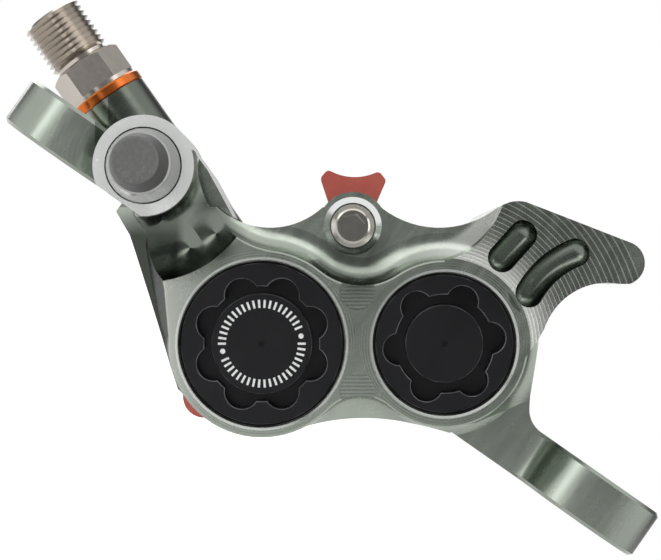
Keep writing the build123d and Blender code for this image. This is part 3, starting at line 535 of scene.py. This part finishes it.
        # a painted highlight along each terrace edge
        line = graph.fade(graph.apart(share, self.line_place), self.line_width, self.line_share)
        tread = graph.blend(graph.rise(step, self.tread_fade), self.pale, self.deep)
        return graph.blend(line, tread, self.edge_highlight)

    def pocket_floors(self, graph: Graph, sunk: Socket) -> Socket:
        """The level of shade in the fin's round pockets."""
        near = graph.under(graph.least(*map(graph.radius, self.fin_pockets)), self.pocket_reach)
        return graph.times(graph.within(sunk, (self.pocket_edge, self.pocket_floor)), near, self.pocket_share)

    def collar(self, graph: Graph) -> Socket:
        """A level of 1 on the painted highlight of the collar round the pad pin."""
        return graph.times(graph.under(graph.radius(self.pin), self.collar_radius),
                           graph.under(graph.depth, self.collar_foot))

    def boss(self, graph: Graph) -> Socket:
        """A level of 1 on the painted highlight of the bleed boss's face."""
        return graph.times(graph.under(graph.radius(self.bleed), self.boss_radius),
                           graph.under(graph.depth, self.boss_face))

    def left_end(self, graph: Graph) -> Socket:
        """The level of the painted light on the left end of the front face."""
        return graph.times(graph.fade(graph.along, self.left_fade, self.left_share),
                           graph.under(graph.depth, self.front + self.pocket_edge))

    def flank(self, graph: Graph) -> Socket:
        """The level of shade on the flank left of the large bore, behind the front face."""
        behind = graph.over(graph.depth, self.front + self.flank_edge)
        return graph.times(graph.fade(graph.along, self.flank_across),
                           graph.fade(graph.upward, self.flank_up), behind, self.flank_share)

    def hollows(self, graph: Graph) -> Socket:
        """The level of shade in the arm's dish, on the hose tube and in the dip between the bores.

        Args:
            graph: The material's nodes.

        Returns:
            The level of shade.
        """
        arm = graph.fade(graph.radius(self.arm), self.arm_fade, self.arm_share)
        tube = graph.times(graph.within(graph.along, self.tube_across),
                           graph.over(graph.upward, self.tube_foot), self.tube_share)
        dip = graph.times(graph.fade(graph.radius(self.dip), self.dip_fade, self.dip_share),
                          graph.over(graph.depth, self.front + self.pocket_edge))
        return graph.most(arm, tube, dip)

    def cove(self, graph: Graph) -> Socket:
        """The level of the painted highlight in the hollow that the wavy step ends in beside the fin.

        Args:
            graph: The material's nodes.

        Returns:
            The level of the hollow.
        """
        from_fin = graph.radius(self.crescent)
        return graph.times(
            graph.rise(from_fin, self.cove_start), graph.under(from_fin, self.cove_end),
            graph.rise(graph.along, self.cove_across), graph.under(graph.upward, self.cove_top),
            graph.within(graph.depth, (self.front_foot, self.shelf)), self.cove_share)

    def mouth(self, graph: Graph, centre: Vector, radius: float) -> Socket:
        """The level of the painted highlight round a bore's mouth."""
        edge_highlight = graph.fade(graph.apart(graph.radius(centre), radius), self.mouth_width, self.mouth_share)
        return graph.times(edge_highlight, graph.under(graph.depth, self.front_foot))

    def mill_rings(self, graph: Graph) -> Socket:
        """The fine rings that the mill left round the bores, and the coarser ones round the bleed boss.

        Args:
            graph: The material's nodes.

        Returns:
            The level of the marks.
        """
        from_bleed = graph.radius(self.bleed)
        marks = graph.times(
            graph.waves(from_bleed, self.coarse_pitch), graph.rise(from_bleed, self.boss_rings_start),
            graph.fade(from_bleed, self.boss_rings_end), graph.under(graph.depth, self.shelf))
        for centre, ends in ((self.large, self.large_rings), (self.small, self.small_rings)):
            reach = graph.radius(centre)
            fine = graph.times(graph.waves(reach, self.fine_pitch), graph.fade(reach, ends))
            marks = graph.math(Sum.ADD, marks, fine)
        return marks

    def web_lines(self, graph: Graph) -> Socket:
        """The straight marks in the two round pockets between the bores."""
        near = graph.under(graph.least(*map(graph.radius, self.web)), self.web_radius)
        return graph.times(graph.waves(graph.upward, self.web_pitch), near)

    def dimple_patch(self, graph: Graph) -> Socket:
        """The patch of small dimples that a ball cutter left beside the large bore."""
        cells = graph.rise(graph.cells(self.dimple_scale, "Distance"), self.dimple_rim)
        return graph.times(cells, graph.fade(graph.radius(self.dimples), self.dimple_fade))

    def scoops(self, graph: Graph) -> Socket:
        """The round dents, 0 at their middles, between the bleed boss and the large bore."""
        shares = [graph.fade(graph.radius(centre), (0.0, size)) for centre, size in self.dents]
        return graph.spread(graph.most(*(graph.times(share, share) for share in shares)), 1.0, 0.0)


@dataclass(frozen=True)
class TurnedMetal:
    """A metal or a resin turned on a lathe, with fine grooves round its axis."""

    name: str
    colour: Colour
    roughness: float
    centre: Vector
    axis: Vector = AWAY
    pitch: float = 0.3 * MM
    groove: float = 0.001 * MM
    groove_strength: float = 0.5
    metallic: float = 1.0
    anisotropic: float = 0.0
    specular: float = 0.5
    cloud_scale: float = 220.0
    cloud_shade: float = 0.86
    grain_scale: float = 1800.0
    grain_swing: float = 0.04
    worn_levels: tuple[float, ...] = ()
    worn: Colour = srgb(128, 129, 132)
    worn_scale: float = 420.0
    worn_shares: Pair = (0.15, 0.9)
    worn_fade: Pair = (0.35, 0.65)
    worn_width: float = 0.045 * MM

    def build(self) -> bpy.types.Material:
        """Makes the material.

        Returns:
            The material.
        """
        graph = Graph(self.name)
        cloud = graph.rise(graph.noise(self.cloud_scale, detail=3.0), MIDDLE)
        colour = graph.blend(cloud, scaled(self.colour, self.cloud_shade), self.colour)
        for level in self.worn_levels:
            colour = graph.blend(self.edge_wear(graph, level), colour, self.worn)
        grain = graph.swing(graph.noise(self.grain_scale), self.roughness, self.grain_swing, self.grain_swing)
        graph.set(Metallic=self.metallic, Base_Color=colour, Roughness=grain)
        graph.set(Anisotropic=self.anisotropic, Specular_IOR_Level=self.specular)
        if self.anisotropic:
            turned = graph.add("ShaderNodeTangent", {}, direction_type="RADIAL", axis="Y")
            graph.set(Tangent=turned.outputs["Tangent"])
        rings = graph.waves(graph.radius(self.centre, self.axis), self.pitch)
        graph.set(Normal=graph.bump(rings, self.groove, self.groove_strength))
        return graph.material

    def edge_wear(self, graph: Graph, level: float) -> Socket:
        """Where the black has worn off the narrow chamfer whose middle has this Y."""
        patchy = graph.spread(graph.noise(self.worn_scale, detail=3.0), *self.worn_shares, *self.worn_fade)
        return graph.times(graph.under(graph.apart(graph.depth, level), self.worn_width), patchy)


@dataclass(frozen=True)
class MouldedRubber:
    """Moulded rubber with a dusty bloom all over, or with the bloom and a painted light on its top face
    alone.
    """

    name: str
    colour: Colour
    bloom_and_painted_light: Colour
    roughness: float = 0.62
    rough_swing: Pair = (0.08, 0.1)
    painted_light_face: float | None = None
    painted_light_depth: float = 0.25 * MM
    painted_light_more: float = 0.55
    bloom_shares: Pair = (0.15, 0.6)
    cloud_scale: float = 420.0
    speck_scale: float = 2600.0
    speck_fade: Pair = (0.45, 0.75)
    fine_scale: float = 5200.0
    fine_relief: Pair = (0.012 * MM, 0.5)
    cloud_relief: Pair = (0.02 * MM, 0.3)
    sheen: float = 0.15
    sheen_roughness: float = 0.5

    def build(self) -> bpy.types.Material:
        """Makes the material.

        Returns:
            The material.
        """
        graph = Graph(self.name)
        cloud = graph.noise(self.cloud_scale, detail=4.0)
        speck = graph.rise(graph.noise(self.speck_scale, detail=3.0), self.speck_fade)
        share = graph.spread(graph.times(cloud, speck), *self.bloom_shares)
        # On the given top face alone the bloom is raised and the rest left dark: painted light on the top.
        if self.painted_light_face is not None:
            face = graph.fade(graph.depth, (self.painted_light_face - self.painted_light_depth, self.painted_light_face))
            share = graph.times(graph.math(Sum.ADD, share, self.painted_light_more), face)
        graph.set(Base_Color=graph.blend(share, self.colour, self.bloom_and_painted_light))
        graph.set(Roughness=graph.swing(cloud, self.roughness, *self.rough_swing))
        graph.set(Sheen_Weight=self.sheen, Sheen_Roughness=self.sheen_roughness)
        fine = graph.bump(graph.noise(self.fine_scale, detail=3.0), *self.fine_relief)
        graph.set(Normal=graph.bump(cloud, *self.cloud_relief, fine))
        return graph.material


@dataclass(frozen=True)
class MouldedPlastic:
    """Coloured plastic out of a mould, a little mottled and a little see-through."""

    name: str
    colour: Colour
    pale: Colour
    roughness: float = 0.38
    rough_swing: Pair = (0.08, 0.12)
    cloud_scale: float = 380.0
    grain_scale: float = 1800.0
    fine_scale: float = 2900.0
    fine_relief: Pair = (0.01 * MM, 0.4)
    cloud_relief: Pair = (0.03 * MM, 0.4)
    depth_share: float = 0.05
    depth_reach: float = 0.6 * MM

    def build(self) -> bpy.types.Material:
        """Makes the material.

        Returns:
            The material.
        """
        graph = Graph(self.name)
        cloud = graph.noise(self.cloud_scale, detail=4.0)
        graph.set(Base_Color=graph.blend(cloud, self.colour, self.pale))
        grain = graph.noise(self.grain_scale, detail=3.0)
        graph.set(Roughness=graph.swing(grain, self.roughness, *self.rough_swing))
        graph.set(Subsurface_Weight=self.depth_share, Subsurface_Scale=self.depth_reach)
        fine = graph.bump(graph.noise(self.fine_scale, detail=3.0), *self.fine_relief)
        graph.set(Normal=graph.bump(cloud, *self.cloud_relief, fine))
        return graph.material


@dataclass(frozen=True)
class PlatedSteel:
    """Plain steel sheet or wire with a thin plating and drawing marks."""

    name: str
    colour: Colour
    dark: Colour
    roughness: float
    rough_swing: Pair = (0.06, 0.1)
    cloud_scale: float = 300.0
    draw_scale: Triple = (400.0, 400.0, 5000.0)
    draw_relief: Pair = (0.004 * MM, 0.4)

    def build(self) -> bpy.types.Material:
        """Makes the material.

        Returns:
            The material.
        """
        graph = Graph(self.name)
        marks = graph.streaks(self.draw_scale, detail=3.0)
        cloud = graph.noise(self.cloud_scale, detail=3.0)
        graph.set(Metallic=1.0, Base_Color=graph.blend(cloud, self.dark, self.colour))
        graph.set(Roughness=graph.swing(marks, self.roughness, *self.rough_swing))
        graph.set(Normal=graph.bump(marks, *self.draw_relief))
        return graph.material


@dataclass(frozen=True)
class FrictionLining:
    """Pressed friction compound with flecks of metal in it."""

    name: str
    colour: Colour
    fleck: Colour
    fleck_scale: float = 1900.0
    fleck_fade: Pair = (0.78, 0.86)
    cloud_scale: float = 1400.0
    cloud_factor: float = 2.0
    roughness: Pair = (0.85, 0.4)
    grain_scale: float = 1700.0
    grain_relief: Pair = (0.06 * MM, 0.7)

    def build(self) -> bpy.types.Material:
        """Makes the material.

        Returns:
            The material.
        """
        graph = Graph(self.name)
        metal = graph.rise(graph.cells(self.fleck_scale, "Color"), self.fleck_fade)
        cloud = graph.noise(self.cloud_scale, detail=4.0)
        compound = graph.blend(cloud, self.colour, scaled(self.colour, self.cloud_factor))
        graph.set(Base_Color=graph.blend(metal, compound, self.fleck), Metallic=metal)
        graph.set(Roughness=graph.spread(metal, *self.roughness))
        graph.set(Normal=graph.bump(graph.noise(self.grain_scale, detail=5.0), *self.grain_relief))
        return graph.material


@dataclass(frozen=True)
class PrintedInk:
    """White ink printed on a smooth face."""

    name: str
    colour: Colour
    thin_factor: float = 0.7
    thin_scale: float = 3000.0
    thin_fade: Pair = (0.25, 0.5)
    roughness: float = 0.5
    relief: Pair = (0.004 * MM, 0.3)

    def build(self) -> bpy.types.Material:
        """Makes the material.

        Returns:
            The material.
        """
        graph = Graph(self.name)
        full = graph.rise(graph.noise(self.thin_scale, detail=3.0), self.thin_fade)
        graph.set(Base_Color=graph.blend(full, scaled(self.colour, self.thin_factor), self.colour))
        graph.set(Roughness=self.roughness, Normal=graph.bump(full, *self.relief))
        return graph.material


class Bench:
    """The modelling moves that the sub-assemblies share."""

    @staticmethod
    def clear() -> None:
        """Deselects everything."""
        for piece in bpy.context.view_layer.objects:
            piece.select_set(False)
        bpy.context.view_layer.objects.active = None

    @staticmethod
    def pick(*pieces: bpy.types.Object) -> None:
        """Selects these pieces alone, the first of them active.

        Args:
            pieces: The pieces.
        """
        Bench.clear()
        for piece in pieces:
            piece.select_set(True)
        bpy.context.view_layer.objects.active = pieces[0]

    @staticmethod
    def round_edges(piece: bpy.types.Object, width: float) -> None:
        """Takes the sharp edges off the piece that was just added.

        Args:
            piece: The piece, which is the active one.
            width: The width of the bevel.
        """
        rounded = piece.modifiers.new("round edges", "BEVEL")
        rounded.width, rounded.segments = width, 1
        bpy.ops.object.modifier_apply(modifier=rounded.name)

    @staticmethod
    def settle(piece: bpy.types.Object, name: str) -> bpy.types.Object:
        """Brings a finished piece's object to the origin, with its place in its mesh.

        Args:
            piece: The piece.
            name: Its name.

        Returns:
            The piece.
        """
        Bench.pick(piece)
        bpy.ops.object.transform_apply(location=True, rotation=True, scale=True)
        piece.name = name
        piece.data.name = name
        return piece

    @staticmethod
    def dress(piece: bpy.types.Object, material: bpy.types.Material) -> None:
        """Gives a piece one material."""
        piece.data.materials.clear()
        piece.data.materials.append(material)

    @staticmethod
    def paint(node: str, material: bpy.types.Material) -> None:
        """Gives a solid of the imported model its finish.

        Args:
            node: The solid.
            material: The finish.
        """
        solid = NODES[node]
        if not solid.material_slots:
            solid.data.materials.append(material)
        for place in solid.material_slots:
            place.material = material


@dataclass
class Housing:
    """The machined body, its bore caps and the marks printed on the large cap.

    The cutter marks stand in millimetres right and up on the photographed face, and a dent has its radius
    as a third number.
    """

    large_centre: Vector = field(default_factory=LARGE_BORE.copy)
    small_centre: Vector = field(default_factory=SMALL_BORE.copy)
    bleed_centre: Vector = field(default_factory=BLEED_AXIS.copy)
    pin_centre: Vector = field(default_factory=PIN_AXIS.copy)
    web_pockets: tuple[Pair, ...] = ((4.6, 5.5), (4.6, -5.7))
    fin_pockets: tuple[Pair, ...] = ((21.1, 9.4), (23.6, 12.1), (24.2, 5.4), (26.7, 8.2), (29.9, 10.1))
    dimples: Pair = (-15.0, 8.6)
    arm_dish: Pair = (-14.8, 12.8)
    crescent: Pair = (12.3, 18.7)
    dip: Pair = (4.2, 9.0)
    dents: tuple[Triple, ...] = ((-17.8, 13.6, 3.4), (-11.6, 12.2, 3.2), (-14.6, 10.6, 2.6))
    cap_groove: float = 0.22 * MM
    cap_edges: Pair = (-9.44 * MM, -9.19 * MM)
    mark_count: int = 46
    mark_radius: float = 4.55 * MM
    mark_length: float = 0.92 * MM
    mark_width: float = 0.26 * MM
    mark_height: float = 0.02 * MM
    mark_edge: float = 0.006 * MM
    mark_face: float = -9.25 * MM
    dot_radius: float = 0.3 * MM
    dot_sides: int = 24
    dot_turns: Pair = (191.0, 11.0)
    dot_room: float = 9.0

    def build(self) -> None:
        """Dresses the body and its caps and prints the marks."""
        # The alloy's colour holds painted shade in its hollows and painted highlights on its edges and faces.
        alloy = MachinedAlloy(
            name="gunmetal_anodised", colour=srgb(171, 178, 168), pale=srgb(214, 217, 211),
            deep=srgb(138, 146, 136), edge_highlight=srgb(226, 228, 223),
            large=self.large_centre, small=self.small_centre, bleed=self.bleed_centre, pin=self.pin_centre,
            web=tuple(spot(*place) for place in self.web_pockets),
            fin_pockets=tuple(spot(*place) for place in self.fin_pockets),
            dimples=spot(*self.dimples), arm=spot(*self.arm_dish), crescent=spot(*self.crescent),
            dip=spot(*self.dip), dents=tuple((spot(right, up), size * MM) for right, up, size in self.dents))
        Bench.paint("caliper_body", alloy.build())
        for node, centre in (("large_bore_cap", self.large_centre), ("small_bore_cap", self.small_centre)):
            black = TurnedMetal(f"{node}_black", srgb(40, 40, 42), roughness=0.3, centre=centre,
                                pitch=self.cap_groove, metallic=0.6, anisotropic=0.7, specular=0.3,
                                worn_levels=self.cap_edges)
            Bench.paint(node, black.build())
        self.marks()

    def marks(self) -> None:
        """Prints the ring of short white marks and its two dots on the large cap."""
        pieces = []
        for index in range(self.mark_count):
            turn = 360.0 * index / self.mark_count
            clear = min(abs((turn - dot + 180.0) % 360.0 - 180.0) for dot in self.dot_turns)
            if clear > self.dot_room:
                pieces.append(self.mark(turn))
        pieces += [self.dot(turn) for turn in self.dot_turns]
        Bench.pick(*pieces)
        bpy.ops.object.join()
        ring = Bench.settle(pieces[0], "large_cap_marks")
        Bench.dress(ring, PrintedInk("white_print", srgb(225, 226, 225)).build())
        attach(ring, "caliper")

    def place(self, turn: float) -> tuple[Vector, float]:
        """Where a mark stands on the ring.

        Args:
            turn: The mark's turn on the photograph, in degrees.

        Returns:
            The place, and the turn about Y that points the mark outwards.
        """
        angle = math.radians(turn) + TILT
        out = Vector((math.cos(angle), 0.0, math.sin(angle)))
        return self.large_centre + out * self.mark_radius + AWAY * self.mark_face, -angle

    def mark(self, turn: float) -> bpy.types.Object:
        """One short bar of ink, its edges rounded.

        Args:
            turn: Its turn on the photograph, in degrees.

        Returns:
            The bar.
        """
        place, angle = self.place(turn)
        Bench.clear()
        bpy.ops.mesh.primitive_cube_add(size=1.0, location=place, rotation=(0.0, angle, 0.0))
        bar = bpy.context.object
        bar.scale = (self.mark_length, self.mark_height, self.mark_width)
        bpy.ops.object.transform_apply(location=False, rotation=False, scale=True)
        Bench.round_edges(bar, self.mark_edge)
        return bar

    def dot(self, turn: float) -> bpy.types.Object:
        """One round dot of ink.

        Args:
            turn: Its turn on the photograph, in degrees.

        Returns:
            The dot.
        """
        Bench.clear()
        bpy.ops.mesh.primitive_cylinder_add(
            vertices=self.dot_sides, radius=self.dot_radius, depth=self.mark_height,
            location=self.place(turn)[0], rotation=(math.pi / 2, 0.0, 0.0))
        disc = bpy.context.object
        Bench.round_edges(disc, self.mark_edge)
        return disc


@dataclass
class Plumbing:
    """The hose connector with its washer, and the bleed nipple with its dust cap."""

    hose_start: Vector = field(default_factory=lambda: Vector((-37.7, 12.5, 9.1)) * MM)
    hose_turn: float = math.radians(20.0)
    bleed_centre: Vector = field(default_factory=BLEED_AXIS.copy)
    dust_face: float = -21.75 * MM

    def build(self) -> None:
        """Dresses the four pieces."""
        start = self.hose_start
        outward = Vector((-math.cos(self.hose_turn), 0.0, math.sin(self.hose_turn)))
        dressed = (
            ("hose_connector", TurnedMetal("connector_stainless", srgb(205, 198, 190), 0.2, start, outward)),
            ("hose_washer", TurnedMetal("washer_copper", srgb(222, 120, 58), 0.24, start, outward)),
            ("bleed_nipple", TurnedMetal("nipple_polished", srgb(176, 176, 174), 0.13, self.bleed_centre)),
            # the dust cap's top face is painted paler, as painted light over its bloom
            ("bleed_dust_cap", MouldedRubber("dust_cap_rubber", srgb(9, 9, 10), srgb(112, 113, 111),
                                             painted_light_face=self.dust_face)),
        )
        for node, finish in dressed:
            Bench.paint(node, finish.build())


@dataclass
class PadGroup:
    """The pads, their pin, clip and spring, and the red spacer between them."""

    pin_centre: Vector = field(default_factory=PIN_AXIS.copy)

    def build(self) -> None:
        """Dresses the pieces round the pads."""
        pin = TurnedMetal("pin_steel", srgb(184, 180, 173), 0.16, self.pin_centre)
        spring = PlatedSteel("spring_steel", srgb(186, 186, 184), srgb(150, 150, 148), 0.22)
        backing = PlatedSteel("backing_plate", srgb(92, 92, 94), srgb(70, 70, 72), 0.45)
        lining = FrictionLining("friction_lining", srgb(74, 64, 56), srgb(190, 150, 110))
        plastic = MouldedPlastic("spacer_red", srgb(190, 80, 70), srgb(208, 114, 100))
        dressed = (
            ("pad_pin", pin), ("pad_pin_clip", spring), ("pad_spring", spring),
            ("outer_pad_backing", backing), ("inner_pad_backing", backing),
            ("outer_pad_lining", lining), ("inner_pad_lining", lining), ("pad_spacer", plastic),
        )
        for node, finish in dressed:
            Bench.paint(node, finish.build())


@dataclass
class Hydraulics:
    """The four pistons with their seals, and the rings under the bore caps."""

    large_centre: Vector = field(default_factory=LARGE_BORE.copy)
    small_centre: Vector = field(default_factory=SMALL_BORE.copy)

    def build(self) -> None:
        """Dresses the pistons and every ring."""
        seal = MouldedRubber("seal_rubber", srgb(34, 34, 36), srgb(52, 52, 54), 0.5).build()
        for size, centre in (("large", self.large_centre), ("small", self.small_centre)):
            resin = TurnedMetal(f"{size}_piston_resin", srgb(58, 44, 36), 0.42, centre, pitch=0.2 * MM,
                                groove=0.002 * MM, metallic=0.0).build()
            for node in sorted(NODES):
                if node.startswith(size) and node.endswith("piston"):
                    Bench.paint(node, resin)
                elif node.startswith(size) and node.endswith("seal"):
                    Bench.paint(node, seal)


@dataclass(frozen=True)
class Lamp:
    """One soft lamp that faces the object.

    Its place is right, up and away in the photograph's directions, its sides are its width across the
    photograph and its height, and its power is in watts.
    """

    name: str
    place: Triple
    sides: Pair
    power: float

    def hang(self) -> None:
        """Adds the lamp to the scene."""
        data = bpy.data.lights.new(self.name, "AREA")
        data.shape = "RECTANGLE"
        data.size, data.size_y = self.sides
        data.energy = self.power
        lamp = bpy.data.objects.new(self.name, data)
        bpy.context.scene.collection.objects.link(lamp)
        back = in_row(*self.place).normalized()
        right = in_row(0.0, 1.0, 0.0).cross(back).normalized()
        turned = Matrix((right, back.cross(right), back)).transposed().to_4x4()
        lamp.matrix_world = Matrix.Translation(in_row(*self.place)) @ turned


@dataclass
class Studio:
    """The camera at the photograph's angle, the soft lamps, the white surroundings and the floor.

    The levels are how bright the surroundings are in what the metal mirrors, from the viewer's side at 0
    to the far side at 1.
    """

    lens: float = 119.82
    sensor: float = 36.0
    shift: Pair = (0.0083, 0.0015)
    clip: Pair = (0.01, 10.0)
    target: Pair = (0.9 * MM, 6.75 * MM)
    distance: float = 260.0 * MM
    floor_height: float = -52.0 * MM
    floor_size: float = 3.0
    floor_lift: float = 0.55
    floor_colours: tuple[Colour, Colour] = ((0.93, 0.93, 0.93), (0.95, 0.95, 0.95))
    floor_scale: float = 3.0
    floor_roughness: float = 0.9
    levels: tuple[Pair, ...] = (
        (0.0, 0.2), (1.0, 1.0), (0.12, 0.26), (0.26, 0.7), (0.38, 1.0), (0.62, 1.0), (0.74, 0.5),
        (0.82, 0.14), (0.93, 0.14))
    lamps: tuple[Lamp, ...] = (
        Lamp("top_lamp", (0.0, 0.44, -0.30), (0.90, 0.26), 0.9),
        Lamp("left_lamp", (-0.44, 0.48, -0.64), (0.58, 0.26), 0.9),
        Lamp("right_lamp", (0.46, 0.05, -0.26), (0.20, 0.34), 0.5),
        Lamp("rear_lamp", (-0.10, 0.30, 0.40), (0.35, 0.35), 0.8),
    )

    def build(self) -> None:
        """Makes everything round the object."""
        self.camera()
        self.world()
        self.floor()
        for lamp in self.lamps:
            lamp.hang()

    def camera(self) -> None:
        """Puts the camera where the photograph was taken from."""
        data = bpy.data.cameras.new("photo_camera")
        data.lens = self.lens
        data.sensor_width = self.sensor
        data.shift_x, data.shift_y = self.shift
        data.clip_start, data.clip_end = self.clip
        camera = bpy.data.objects.new("photo_camera", data)
        bpy.context.scene.collection.objects.link(camera)
        turned = Matrix((in_row(1.0, 0.0, 0.0), in_row(0.0, 1.0, 0.0), -AWAY)).transposed().to_4x4()
        camera.matrix_world = Matrix.Translation(in_row(*self.target, -self.distance)) @ turned
        bpy.context.scene.camera = camera

    def world(self) -> None:
        """Makes the white surroundings, which are plain white behind the object."""
        world = bpy.data.worlds.new("white_studio")
        bpy.context.scene.world = world
        world.use_nodes = True
        tree = world.node_tree
        tree.nodes.clear()
        output = tree.nodes.new("ShaderNodeOutputWorld")
        ground = tree.nodes.new("ShaderNodeBackground")
        coords = tree.nodes.new("ShaderNodeTexCoord")
        split = tree.nodes.new("ShaderNodeSeparateXYZ")
        side = tree.nodes.new("ShaderNodeMapRange")
        side.inputs["From Min"].default_value = -1.0
        side.inputs["From Max"].default_value = 1.0
        ramp = tree.nodes.new("ShaderNodeValToRGB")
        for index, (place, level) in enumerate(self.levels):
            stop = ramp.color_ramp.elements[index] if index < 2 else ramp.color_ramp.elements.new(place)
            stop.position = place
            stop.color = (level, level, level, 1.0)
        path = tree.nodes.new("ShaderNodeLightPath")
        seen = tree.nodes.new("ShaderNodeMath")
        bright = tree.nodes.new("ShaderNodeMath")
        seen.operation = bright.operation = Sum.HIGHER.value
        for start, end in (
                (coords.outputs["Generated"], split.inputs[0]),
                (split.outputs["Y"], side.inputs["Value"]),
                (side.outputs["Result"], ramp.inputs["Fac"]),
                (path.outputs["Is Camera Ray"], seen.inputs[0]),
                (path.outputs["Is Transmission Ray"], seen.inputs[1]),
                (seen.outputs[0], bright.inputs[0]),
                (ramp.outputs["Color"], bright.inputs[1]),
                (bright.outputs[0], ground.inputs["Color"]),
                (ground.outputs[0], output.inputs["Surface"])):
            tree.links.new(start, end)

    def floor(self) -> None:
        """Lays the plain pale floor, which looks a little brighter to the camera alone."""
        Bench.clear()
        bpy.ops.mesh.primitive_plane_add(size=self.floor_size, location=(0.0, 0.0, self.floor_height))
        floor = Bench.settle(bpy.context.object, "studio_floor")
        graph = Graph("pale_floor")
        graph.set(Base_Color=graph.blend(graph.noise(self.floor_scale), *self.floor_colours))
        graph.set(Roughness=self.floor_roughness, Specular_IOR_Level=0.0, Emission_Color=(1.0, 1.0, 1.0))
        seen = graph.add("ShaderNodeLightPath", {}).outputs["Is Camera Ray"]
        graph.set(Emission_Strength=graph.times(seen, self.floor_lift))
        Bench.dress(floor, graph.material)


def main() -> None:
    """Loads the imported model, builds each sub-assembly in turn and sets up the picture."""
    logging.basicConfig(level=logging.INFO, format="%(message)s")
    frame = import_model()
    NODES.update(frame["nodes"])
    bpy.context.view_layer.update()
    bpy.context.scene.view_settings.view_transform = "Standard"
    for part in (Housing(), Plumbing(), PadGroup(), Hydraulics()):
        part.build()
        LOG.info("built %s", type(part).__name__)
    Studio().build()
    Bench.clear()


if __name__ == "__main__":
    main()
